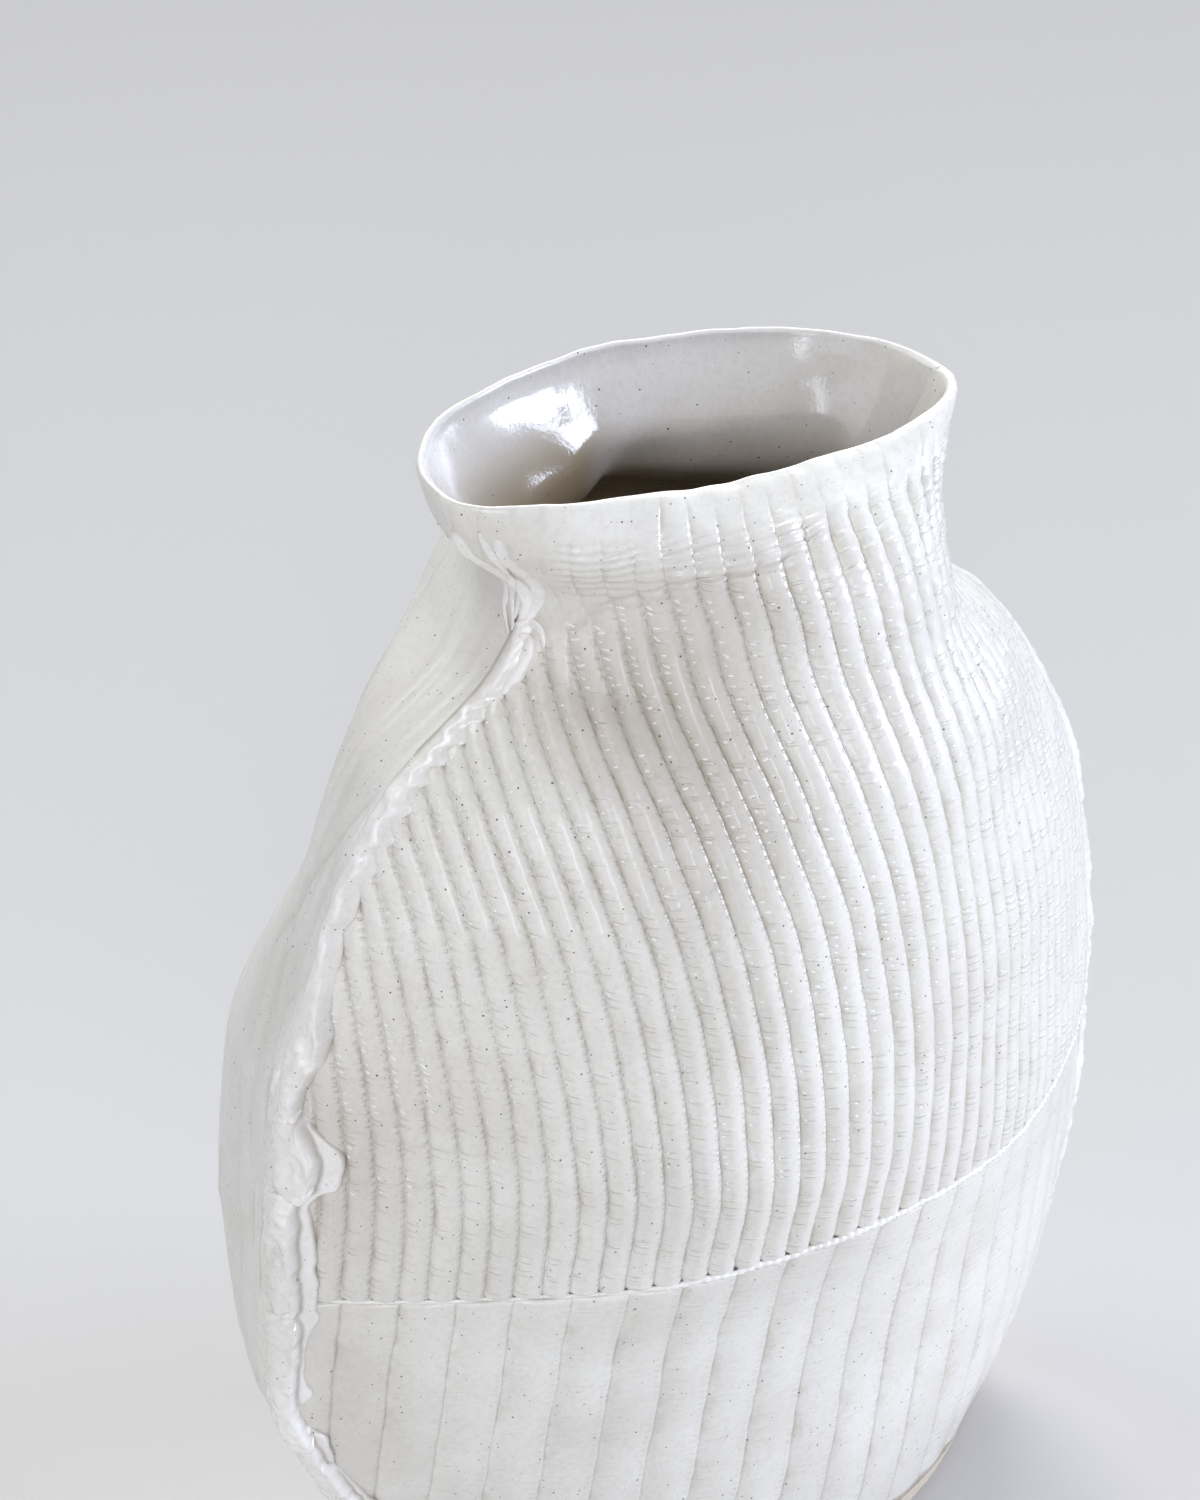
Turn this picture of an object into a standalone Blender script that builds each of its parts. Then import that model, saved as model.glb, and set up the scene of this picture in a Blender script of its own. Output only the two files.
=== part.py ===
"""Flattened slab-built stoneware jar with a knit-ribbed front.

The jar is put together the way a potter builds it: a flat base, two ribbed slabs one above
the other for the front, one tall slab for the back, coils pressed into the inside corners,
and a roll of clay pinched over each of the two upright seams.

Units are metres and +Z is up. X runs from the left seam to the right seam, the ribbed front
faces -Y and the plain back +Y. The origin is the middle of the foot, on the surface that the
jar stands on.
"""

import functools
import math
from dataclasses import dataclass

import bmesh
import bpy
import numpy as np

MM = 0.001
FRONT = -1
BACK = 1
LEFT = -1
RIGHT = 1

# Wall and joints
WALL = 4.8 * MM
LIP_WALL = 2.8 * MM
LIP_ROUND = 1.3 * MM
SEAM_DEPTH = 8.0 * MM
JOINT_GAP = 0.3 * MM
LAP_HEIGHT = 6.0 * MM

# Foot
BASE_THICKNESS = 6.0 * MM
FOOT_EDGE = 1.8 * MM
BASE_COIL_WIDTH = 7.0 * MM
BASE_COIL_HEIGHT = 8.0 * MM

# Levels on the wall
BELLY_SEAM_HEIGHT = 110.0 * MM
SEAM_ROLL_SPLIT_HEIGHT = 160.0 * MM
SEAM_ROLL_TOP_HEIGHT = 252.0 * MM
INSIDE_COIL_TOP_HEIGHT = 222.0 * MM
NECK_START_HEIGHT = 215.0 * MM

# Ribs pressed into the front
FINE_RIB_PITCH = 6.0 * MM
FINE_RIB_DATUM = 3.4 * MM
WIDE_RIB_PITCH = 12.0 * MM
WIDE_RIB_DATUM = -1.4 * MM
GROOVE_DEPTH = 0.9 * MM
GROOVE_HALF_WIDTH = 1.1 * MM
RIB_FADE = 6.0 * MM
RIB_END_BELOW_RIM = 8.0 * MM
RIB_END_FADE = 12.0 * MM

# Rolls pinched over the seams: how far each reaches over the slabs, and how proud it stands
LEFT_LOWER_ROLL_WIDTH = 4.2 * MM
LEFT_LOWER_ROLL_HEIGHT = 3.4 * MM
LEFT_UPPER_ROLL_WIDTH = 3.2 * MM
LEFT_UPPER_ROLL_HEIGHT = 2.2 * MM
RIGHT_ROLL_WIDTH = 3.6 * MM
RIGHT_ROLL_HEIGHT = 2.0 * MM
ROLL_EDGE = 0.6 * MM
ROLL_SHOULDER = 0.8
INSIDE_COIL_HOLLOW = 0.35

# Fineness of the faces
ROW_SPACING = 16.0 * MM
NECK_ROW_SPACING = 9.0 * MM
SMOOTH_COLUMNS = 22
SQUEEZED_COLUMN = 0.12 * MM
LAND_MARGIN = 1.0 * MM
OUTLINE_SAMPLES = 241
SHARP_ANGLE = math.radians(35)


@dataclass(frozen=True)
class Section:
    """One level cut through the outside of the jar.

    rise is its height above the section below, and left, right, front and back are its
    reaches from the middle of the foot. pinch shapes the front towards its seams: 1 is an
    ellipse and 2 a sharp lens. The skews pull the middle of the front and of the back to the
    right, as shares of the half width. tilt is the height gained per unit of X, and lift the
    height that the middle of the front gains. rib_drift moves the ribs along the wall.
    """

    rise: float
    left: float
    right: float
    front: float
    back: float
    pinch: float
    front_skew: float
    back_skew: float
    tilt: float
    lift: float
    rib_drift: float


FOOT = Section(
    rise=0.0, left=65 * MM, right=80 * MM, front=36 * MM, back=34 * MM,
    pinch=1.6, front_skew=0.03, back_skew=0.0, tilt=0.0, lift=0.0, rib_drift=-6 * MM,
)
LOW_BELLY = Section(
    rise=29 * MM, left=80 * MM, right=100 * MM, front=38 * MM, back=44 * MM,
    pinch=1.7, front_skew=0.03, back_skew=-0.01, tilt=-0.012, lift=0.0, rib_drift=-1 * MM,
)
BELLY = Section(
    rise=25 * MM, left=99 * MM, right=107 * MM, front=39 * MM, back=57 * MM,
    pinch=1.8, front_skew=0.09, back_skew=-0.06, tilt=-0.019, lift=0.0, rib_drift=1 * MM,
)
FULL_BELLY = Section(
    rise=30 * MM, left=110 * MM, right=111 * MM, front=43 * MM, back=72 * MM,
    pinch=1.8, front_skew=0.09, back_skew=-0.12, tilt=-0.026, lift=0.0, rib_drift=2 * MM,
)
HIGH_BELLY = Section(
    rise=30 * MM, left=108 * MM, right=111 * MM, front=52 * MM, back=84 * MM,
    pinch=1.9, front_skew=0.04, back_skew=-0.16, tilt=-0.029, lift=0.0, rib_drift=1 * MM,
)
FLANK = Section(
    rise=30 * MM, left=106 * MM, right=108 * MM, front=59 * MM, back=84 * MM,
    pinch=1.9, front_skew=-0.03, back_skew=-0.1, tilt=-0.028, lift=0.0, rib_drift=-2 * MM,
)
LOW_SHOULDER = Section(
    rise=30 * MM, left=101 * MM, right=102 * MM, front=62 * MM, back=69 * MM,
    pinch=1.9, front_skew=-0.04, back_skew=-0.04, tilt=-0.027, lift=0.0, rib_drift=-7 * MM,
)
SHOULDER = Section(
    rise=28 * MM, left=93 * MM, right=89 * MM, front=63 * MM, back=54 * MM,
    pinch=1.8, front_skew=-0.04, back_skew=0.03, tilt=-0.025, lift=0.0, rib_drift=-13 * MM,
)
HIGH_SHOULDER = Section(
    rise=24 * MM, left=80 * MM, right=72 * MM, front=58 * MM, back=53 * MM,
    pinch=1.6, front_skew=0.08, back_skew=0.01, tilt=-0.024, lift=1 * MM, rib_drift=-19 * MM,
)
NECK = Section(
    rise=19 * MM, left=53 * MM, right=53 * MM, front=48 * MM, back=60 * MM,
    pinch=1.5, front_skew=0.14, back_skew=-0.05, tilt=-0.023, lift=5 * MM, rib_drift=-24 * MM,
)
WAIST = Section(
    rise=14 * MM, left=46 * MM, right=51 * MM, front=43 * MM, back=53 * MM,
    pinch=1.4, front_skew=0.07, back_skew=-0.02, tilt=-0.023, lift=8 * MM, rib_drift=-29 * MM,
)
RIM = Section(
    rise=27 * MM, left=66 * MM, right=60 * MM, front=22 * MM, back=41 * MM,
    pinch=1.0, front_skew=0.12, back_skew=0.03, tilt=-0.077, lift=-2 * MM, rib_drift=-38 * MM,
)
SECTIONS = (
    FOOT,
    LOW_BELLY,
    BELLY,
    FULL_BELLY,
    HIGH_BELLY,
    FLANK,
    LOW_SHOULDER,
    SHOULDER,
    HIGH_SHOULDER,
    NECK,
    WAIST,
    RIM,
)

SECTION_HEIGHTS = np.cumsum([section.rise for section in SECTIONS])
RIM_HEIGHT = float(SECTION_HEIGHTS[-1])
WAIST_HEIGHT = RIM_HEIGHT - RIM.rise
WALL_BOTTOM = BASE_THICKNESS + JOINT_GAP
BASE_COIL_TOP = WALL_BOTTOM + BASE_COIL_HEIGHT
LAP_TOP = BELLY_SEAM_HEIGHT + LAP_HEIGHT
SEAM_LAND = max(LEFT_LOWER_ROLL_WIDTH, LEFT_UPPER_ROLL_WIDTH, RIGHT_ROLL_WIDTH) + LAND_MARGIN
STOPS = sorted(
    (
        BASE_COIL_TOP,
        BELLY_SEAM_HEIGHT,
        LAP_TOP,
        SEAM_ROLL_SPLIT_HEIGHT,
        NECK_START_HEIGHT,
        INSIDE_COIL_TOP_HEIGHT,
        SEAM_ROLL_TOP_HEIGHT,
        WAIST_HEIGHT,
    )
)

GLAZE_COLOUR = (0.84, 0.83, 0.80, 1.0)
SHADED_GLAZE_COLOUR = (0.74, 0.71, 0.66, 1.0)
BISCUIT_COLOUR = (0.66, 0.58, 0.48, 1.0)
GLAZE_ROUGHNESS = 0.16
BISCUIT_ROUGHNESS = 0.8


def start_empty():
    """Clear the scene and make the collection for the jar."""
    for thing in list(bpy.data.objects):
        bpy.data.objects.remove(thing, do_unlink=True)
    collection = bpy.data.collections.new("moon_jar")
    bpy.context.scene.collection.children.link(collection)
    return collection


def ease(value):
    """0 below 0, 1 above 1 and a smooth rise between."""
    value = min(max(value, 0.0), 1.0)
    return value * value * (3.0 - 2.0 * value)


@functools.lru_cache(maxsize=None)
def measure(field, height):
    """A section's measure at any height, on a smooth curve that overshoots no section."""
    values = [getattr(section, field) for section in SECTIONS]
    grades = np.diff(values) / np.diff(SECTION_HEIGHTS)
    below = int(np.clip(np.searchsorted(SECTION_HEIGHTS, height) - 1, 0, len(grades) - 1))
    span = SECTION_HEIGHTS[below + 1] - SECTION_HEIGHTS[below]
    along = (height - SECTION_HEIGHTS[below]) / span

    def slope(index):
        before = grades[max(index - 1, 0)]
        after = grades[min(index, len(grades) - 1)]
        return 2 * before * after / (before + after) if before * after > 0 else 0.0

    return float(
        (1 + 2 * along) * (1 - along) ** 2 * values[below]
        + along * (1 - along) ** 2 * span * slope(below)
        + along**2 * (3 - 2 * along) * values[below + 1]
        + along**2 * (along - 1) * span * slope(below + 1)
    )


def collar_share(height):
    """0 at the waist and below, 1 at the rim."""
    return min(max((height - WAIST_HEIGHT) / RIM.rise, 0.0), 1.0)


def wall_thickness(height):
    """The slabs thin from the waist to the lip."""
    return WALL + (LIP_WALL - WALL) * collar_share(height)


def seam_thickness(height):
    """Width of the joint face between the front and back slabs."""
    return SEAM_DEPTH + (LIP_WALL - SEAM_DEPTH) * collar_share(height)


def wall_point(side, turn, height, grow=0.0, deep=0.0):
    """A point of the front or back wall.

    turn goes from 0 at the left seam to pi at the right one. grow moves the point out of
    the wall, and deep moves it in by a share of the wall's thickness.
    """
    seam_inset = deep * seam_thickness(height) - grow
    wall_inset = deep * wall_thickness(height) - grow
    left = measure("left", height) - seam_inset
    right = measure("right", height) - seam_inset
    half = (left + right) / 2
    bulge = max(math.sin(turn), 0.0)
    if side == FRONT:
        depth = (measure("front", height) - wall_inset) * bulge ** measure("pinch", height)
        skew = measure("front_skew", height)
        lift = measure("lift", height) * bulge
    else:
        depth = (measure("back", height) - wall_inset) * bulge
        skew = measure("back_skew", height)
        lift = 0.0
    x = (right - left) / 2 - half * math.cos(turn) + skew * half * bulge**2
    y = side * (depth + JOINT_GAP / 2)
    return np.array((x, y, height + measure("tilt", height) * x + lift))


@functools.lru_cache(maxsize=None)
def outline_lengths(side, height):
    """Lengths along the outside of a wall from its left seam, and the turns they belong to."""
    turns = np.linspace(0.0, math.pi, OUTLINE_SAMPLES)
    points = np.array([wall_point(side, turn, height)[:2] for turn in turns])
    steps = np.linalg.norm(np.diff(points, axis=0), axis=1)
    return np.concatenate(([0.0], np.cumsum(steps))), turns, points[:, 0]


def wall_length(side, height):
    """Length of a wall's outside from seam to seam."""
    return float(outline_lengths(side, height)[0][-1])


def turn_at(side, height, length):
    """The turn at a length along the outside of a wall from its left seam."""
    lengths, turns, _ = outline_lengths(side, height)
    return float(np.interp(length, lengths, turns))


def turn_from(seam, side, height, length):
    """The turn at a length along the outside of a wall from one of its seams."""
    if seam == RIGHT:
        length = wall_length(side, height) - length
    return turn_at(side, height, length)


def middle_length(height):
    """Length along the front from its left seam to the jar's middle plane."""
    lengths, _, across = outline_lengths(FRONT, height)
    return float(np.interp(0.0, across, lengths))


def levels(low, high):
    """Heights of rows from low to high, on one grid for all pieces, closer in the neck."""
    stops = [WALL_BOTTOM, *STOPS, RIM_HEIGHT - LIP_ROUND]
    grid = []
    for start, end in zip(stops, stops[1:]):
        step = NECK_ROW_SPACING if start >= NECK_START_HEIGHT else ROW_SPACING
        count = max(1, math.ceil((end - start) / step - 0.01))
        grid += [start + (end - start) * number / count for number in range(count)]
    return [low, *(row for row in grid if low + JOINT_GAP < row < high - JOINT_GAP), high]


def add_object(name, collection, faces_mesh, colour, roughness):
    """Make the named object of a sub-part, with a material of its own."""
    bmesh.ops.recalc_face_normals(faces_mesh, faces=faces_mesh.faces)
    mesh = bpy.data.meshes.new(name)
    faces_mesh.to_mesh(mesh)
    faces_mesh.free()
    material = bpy.data.materials.new(name)
    material.use_nodes = True
    shader = material.node_tree.nodes["Principled BSDF"]
    shader.inputs["Base Color"].default_value = colour
    shader.inputs["Roughness"].default_value = roughness
    mesh.materials.append(material)
    mesh.shade_smooth()
    mesh.set_sharp_from_angle(angle=SHARP_ANGLE)
    thing = bpy.data.objects.new(name, mesh)
    collection.objects.link(thing)
    return thing


def loft(name, collection, loops, colour=GLAZE_COLOUR, roughness=GLAZE_ROUGHNESS, ring=False):
    """A closed solid through loops of as many points each, capped at its ends or a ring."""
    mesh = bmesh.new()
    rows = [[mesh.verts.new(point) for point in loop] for loop in loops]
    pairs = list(zip(rows, rows[1:]))
    if ring:
        pairs.append((rows[-1], rows[0]))
    for first, second in pairs:
        for index in range(len(first)):
            after = (index + 1) % len(first)
            mesh.faces.new((first[index], first[after], second[after], second[index]))
    if not ring:
        mesh.faces.new(rows[0])
        mesh.faces.new(rows[-1])
    return add_object(name, collection, mesh, colour, roughness)


def smooth_columns(side, height):
    """Turns of a plain wall's columns, with one at each seam land."""
    length = wall_length(side, height)
    inner = np.linspace(2 * SEAM_LAND, length - 2 * SEAM_LAND, SMOOTH_COLUMNS)
    lengths = [0.0, SEAM_LAND, *inner, length - SEAM_LAND, length]
    return [turn_at(side, height, along) for along in lengths]


def plain_columns(height):
    """The columns of the ungrooved back."""
    return [(turn, 0.0) for turn in smooth_columns(BACK, height)]


class Ribs:
    """Upright grooves across the front, with plain lands along both seams.

    A groove that meets a seam runs into its land, where its columns close up. crests are
    the shares of the pitch at which a wide rib has further columns.
    """

    def __init__(self, pitch, datum, heights, crests=()):
        self.pitch = pitch
        self.datum = datum
        self.crests = crests
        first = min(-self.start(height) for height in heights)
        last = max(wall_length(FRONT, height) - self.start(height) for height in heights)
        self.grooves = range(math.ceil(first / pitch), math.floor(last / pitch) + 1)

    def start(self, height):
        """Length from the left seam to the groove numbered 0."""
        return middle_length(height) + measure("rib_drift", height) + self.datum

    def columns(self, height):
        """Turns and groove depths of the columns at a height."""
        length = wall_length(FRONT, height)
        below_end = RIM_HEIGHT - RIB_END_BELOW_RIM - height
        fade_up = ease(below_end / RIB_END_FADE)
        wanted = []
        for groove in self.grooves:
            centre = self.start(height) + groove * self.pitch
            wanted += [(centre - GROOVE_HALF_WIDTH, 0.0), (centre, GROOVE_DEPTH)]
            wanted += [(centre + GROOVE_HALF_WIDTH, 0.0)]
            wanted += [(centre + share * self.pitch, 0.0) for share in self.crests]
        found = [(0.0, 0.0), (turn_at(FRONT, height, SEAM_LAND), 0.0)]
        for index, (along, depth) in enumerate(wanted):
            lowest = SEAM_LAND + (index + 1) * SQUEEZED_COLUMN
            highest = length - SEAM_LAND - (len(wanted) - index) * SQUEEZED_COLUMN
            room = min(along - lowest, highest - along)
            kept = min(max(along, lowest), highest)
            found.append((turn_at(FRONT, height, kept), depth * ease(room / RIB_FADE) * fade_up))
        found.append((turn_at(FRONT, height, length - SEAM_LAND), 0.0))
        found.append((math.pi, 0.0))
        return found


def outside_rows(side, columns, low, high):
    """Turns and points of the rows up a wall's outside, with its grooves cut in."""
    rows = []
    for height in levels(low, high):
        found = columns(height)
        points = [wall_point(side, turn, height, grow=-depth) for turn, depth in found]
        rows.append(([turn for turn, _ in found], points))
    return rows


def inside_rows(side, stations):
    """Turns and points of plain rows through stations of height and depth in the wall."""
    rows = []
    for height, deep in stations:
        turns = smooth_columns(side, height)
        rows.append((turns, [wall_point(side, turn, height, deep=deep) for turn in turns]))
    return rows


def stitch(mesh, first, second):
    """Join two rows of vertices with triangles, each row given with its turns."""
    first_turns, first_verts = first
    second_turns, second_verts = second
    left = right = 0
    while left < len(first_verts) - 1 or right < len(second_verts) - 1:
        second_done = right == len(second_verts) - 1
        first_left = left < len(first_verts) - 1
        corner = (first_verts[left], second_verts[right])
        if second_done or (first_left and first_turns[left + 1] <= second_turns[right + 1]):
            left += 1
            mesh.faces.new((corner[0], first_verts[left], corner[1]))
        else:
            right += 1
            mesh.faces.new((corner[0], second_verts[right], corner[1]))


def slab(name, collection, outside, inside, colour=GLAZE_COLOUR):
    """A wall slab from rows up its outside and rows over its top and down its inside."""
    mesh = bmesh.new()
    sheets = []
    for rows in (outside, inside):
        sheet = [(turns, [mesh.verts.new(point) for point in points]) for turns, points in rows]
        for (_, lower), (_, upper) in zip(sheet, sheet[1:]):
            for index in range(len(lower) - 1):
                mesh.faces.new((lower[index], lower[index + 1], upper[index + 1], upper[index]))
        sheets.append(sheet)
    stitch(mesh, sheets[0][-1], sheets[1][0])
    stitch(mesh, sheets[1][-1], sheets[0][0])
    for end in (0, -1):
        mesh.faces.new([verts[end] for sheet in sheets for _, verts in sheet])
    return add_object(name, collection, mesh, colour, GLAZE_ROUGHNESS)


def lip_stations():
    """The rounded lip, from the outside over to the inside."""
    base = RIM_HEIGHT - LIP_ROUND
    angles = [math.radians(angle) for angle in (45, 90, 135)]
    return [(base + LIP_ROUND * math.sin(a), (1 - math.cos(a)) / 2) for a in angles]


def wall_stations(low, high):
    """Stations down the inside."""
    return [(height, 1.0) for height in reversed(levels(low, high))]


def make_front_lower_slab(collection):
    """Wide ribs, from the base to the belly seam, with a half-thickness tongue behind it."""
    seam = BELLY_SEAM_HEIGHT - JOINT_GAP / 2
    tongue = 0.5 + JOINT_GAP / WALL / 2
    ribs = Ribs(WIDE_RIB_PITCH, WIDE_RIB_DATUM, levels(WALL_BOTTOM, seam))
    stations = [(seam, tongue), (LAP_TOP, tongue), *wall_stations(WALL_BOTTOM, LAP_TOP)]
    outside = outside_rows(FRONT, ribs.columns, WALL_BOTTOM, seam)
    slab("front_lower_slab", collection, outside, inside_rows(FRONT, stations))


def make_front_upper_slab(collection):
    """Fine ribs, from the belly seam over the shoulder and up the collar to the lip."""
    seam = BELLY_SEAM_HEIGHT + JOINT_GAP / 2
    rabbet = 0.5 - JOINT_GAP / WALL / 2
    top = RIM_HEIGHT - LIP_ROUND
    lap = LAP_TOP + JOINT_GAP
    ribs = Ribs(FINE_RIB_PITCH, FINE_RIB_DATUM, levels(seam, top))
    stations = [*lip_stations(), *wall_stations(lap, top), (lap, rabbet), (seam, rabbet)]
    outside = outside_rows(FRONT, ribs.columns, seam, top)
    slab("front_upper_slab", collection, outside, inside_rows(FRONT, stations))


def make_back_slab(collection):
    """One plain slab from the base to the lip."""
    top = RIM_HEIGHT - LIP_ROUND
    outside = outside_rows(BACK, plain_columns, WALL_BOTTOM, top)
    inside = inside_rows(BACK, [*lip_stations(), *wall_stations(WALL_BOTTOM, top)])
    slab("back_slab", collection, outside, inside, SHADED_GLAZE_COLOUR)


def seam_point(seam, side, height, length, grow=0.0, deep=0.0):
    """A point near a seam, length away from it along the outside of a wall."""
    turn = turn_from(seam, side, height, length)
    return wall_point(side, turn, height, grow, deep)


def seam_corner(seam, height, grow=0.0, deep=0.0):
    """The point where the front and back walls meet."""
    front = seam_point(seam, FRONT, height, 0.0, grow, deep)
    back = seam_point(seam, BACK, height, 0.0, grow, deep)
    return (front + back) / 2


def make_seam_roll(name, collection, seam, low, high, width, stand):
    """A roll of clay pinched over the outside of a seam."""
    loops = []
    for height in levels(low, high):
        shoulder = JOINT_GAP + ROLL_SHOULDER * stand
        edge = JOINT_GAP + ROLL_EDGE
        loops.append(
            [
                seam_point(seam, FRONT, height, width, JOINT_GAP),
                seam_corner(seam, height, JOINT_GAP),
                seam_point(seam, BACK, height, width, JOINT_GAP),
                seam_point(seam, BACK, height, width, edge),
                seam_point(seam, BACK, height, width / 2, shoulder),
                seam_corner(seam, height, JOINT_GAP + stand),
                seam_point(seam, FRONT, height, width / 2, shoulder),
                seam_point(seam, FRONT, height, width, edge),
            ]
        )
    loft(name, collection, loops)


def make_inside_coil(name, collection, seam):
    """A coil smoothed into the inside corner of a seam."""
    loops = []
    low = BASE_COIL_TOP + JOINT_GAP
    for height in levels(low, INSIDE_COIL_TOP_HEIGHT):
        front = [
            seam_point(seam, FRONT, height, number * SEAM_LAND, -JOINT_GAP, 1.0)
            for number in (2, 1)
        ]
        back = [
            seam_point(seam, BACK, height, number * SEAM_LAND, -JOINT_GAP, 1.0)
            for number in (1, 2)
        ]
        corner = seam_corner(seam, height, -JOINT_GAP, 1.0)
        across = (front[0] + back[-1]) / 2
        hollow = across + INSIDE_COIL_HOLLOW * (corner - across)
        loops.append([*front, corner, *back, hollow])
    loft(name, collection, loops, SHADED_GLAZE_COLOUR)


def outline_ring(height, grow=0.0, deep=0.0):
    """The jar's outline at a height, round the front from the left seam and back again."""
    front = [wall_point(FRONT, turn, height, grow, deep) for turn in smooth_columns(FRONT, height)]
    back = [wall_point(BACK, turn, height, grow, deep) for turn in smooth_columns(BACK, height)]
    left = (front[0] + back[0]) / 2
    right = (front[-1] + back[-1]) / 2
    return [left, *front[1:-1], right, *reversed(back[1:-1])]


def make_base(collection):
    """The flat oval base that the walls stand on, with its lower edge rounded off."""
    rings = [
        outline_ring(0.0, grow=-FOOT_EDGE),
        outline_ring(FOOT_EDGE),
        outline_ring(BASE_THICKNESS),
    ]
    for point in rings[0]:
        point[2] = 0.0
    loft("base_slab", collection, rings, BISCUIT_COLOUR, BISCUIT_ROUGHNESS)


def make_base_coil(collection):
    """The coil smoothed into the corner between the base and the walls."""
    floor = WALL_BOTTOM
    hollow_height = floor + BASE_COIL_HEIGHT * INSIDE_COIL_HOLLOW
    hollow_inset = BASE_COIL_WIDTH * INSIDE_COIL_HOLLOW
    rings = [
        outline_ring(floor, -JOINT_GAP, 1.0),
        outline_ring(floor, -JOINT_GAP - BASE_COIL_WIDTH, 1.0),
        outline_ring(hollow_height, -JOINT_GAP - hollow_inset, 1.0),
        outline_ring(BASE_COIL_TOP, -JOINT_GAP, 1.0),
    ]
    loft("base_coil", collection, list(zip(*rings)), SHADED_GLAZE_COLOUR, ring=True)


def main():
    """Build the jar from its base up."""
    jar = start_empty()
    make_base(jar)
    make_base_coil(jar)
    make_front_lower_slab(jar)
    make_front_upper_slab(jar)
    make_back_slab(jar)
    make_inside_coil("inside_coil_left", jar, LEFT)
    make_inside_coil("inside_coil_right", jar, RIGHT)
    rolls = (
        ("left_seam_roll_lower", LEFT, WALL_BOTTOM, SEAM_ROLL_SPLIT_HEIGHT),
        ("left_seam_roll_upper", LEFT, SEAM_ROLL_SPLIT_HEIGHT + JOINT_GAP, SEAM_ROLL_TOP_HEIGHT),
        ("right_seam_roll_lower", RIGHT, WALL_BOTTOM, SEAM_ROLL_SPLIT_HEIGHT),
        ("right_seam_roll_upper", RIGHT, SEAM_ROLL_SPLIT_HEIGHT + JOINT_GAP, SEAM_ROLL_TOP_HEIGHT),
    )
    sizes = {
        "left_seam_roll_lower": (LEFT_LOWER_ROLL_WIDTH, LEFT_LOWER_ROLL_HEIGHT),
        "left_seam_roll_upper": (LEFT_UPPER_ROLL_WIDTH, LEFT_UPPER_ROLL_HEIGHT),
    }
    for name, seam, low, high in rolls:
        width, stand = sizes.get(name, (RIGHT_ROLL_WIDTH, RIGHT_ROLL_HEIGHT))
        make_seam_roll(name, jar, seam, low, high, width, stand)


main()
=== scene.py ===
"""Looks of the flattened slab-built jar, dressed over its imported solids.

The walls, seam rolls and belly seam are modelled again with the relief that the clay took from
knitted cloth: fine ribs above the belly seam, wide ones below it, wrinkles under the collar, and
rolls of clay pinched over the upright seams. Sizes in the tables are in millimetres, in the frame
of the solids: X runs from the left seam to the right one and the ribbed front faces -Y.
"""

import logging
import math
from collections.abc import Callable
from dataclasses import dataclass, fields
from enum import Enum
from functools import partial
from typing import Protocol

import bpy
import numpy as np
from mathutils import Matrix, Vector


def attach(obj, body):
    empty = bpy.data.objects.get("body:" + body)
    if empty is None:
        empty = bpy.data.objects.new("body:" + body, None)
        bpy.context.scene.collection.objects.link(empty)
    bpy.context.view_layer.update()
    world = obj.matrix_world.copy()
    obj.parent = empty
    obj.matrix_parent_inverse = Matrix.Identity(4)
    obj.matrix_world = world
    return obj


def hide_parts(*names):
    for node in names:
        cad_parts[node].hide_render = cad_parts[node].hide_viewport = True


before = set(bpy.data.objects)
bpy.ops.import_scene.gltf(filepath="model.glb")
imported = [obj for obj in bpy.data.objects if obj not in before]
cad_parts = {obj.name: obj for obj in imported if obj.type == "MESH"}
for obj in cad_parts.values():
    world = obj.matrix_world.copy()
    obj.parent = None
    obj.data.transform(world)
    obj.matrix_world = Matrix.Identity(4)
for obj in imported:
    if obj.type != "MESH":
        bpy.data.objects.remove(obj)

log = logging.getLogger("jar")

MM = 0.001


class Side(Enum):
    """The two walls of the jar, by the way each faces along Y."""

    FRONT = -1
    BACK = 1


class Seam(Enum):
    """The two upright seams, by where each stands along X."""

    LEFT = -1
    RIGHT = 1


@dataclass(frozen=True)
class Level:
    """One level cut through the outside of the jar, in millimetres.

    The reaches are from the middle of the foot. pinch shapes the front towards its seams, the
    skews pull the middle of a wall to the right as shares of the half width, tilt is the height
    gained per unit of X, and lift the height that the middle of the front gains.
    """

    height: float
    left: float
    right: float
    front: float
    back: float
    pinch: float
    front_skew: float
    back_skew: float
    tilt: float
    lift: float


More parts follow.
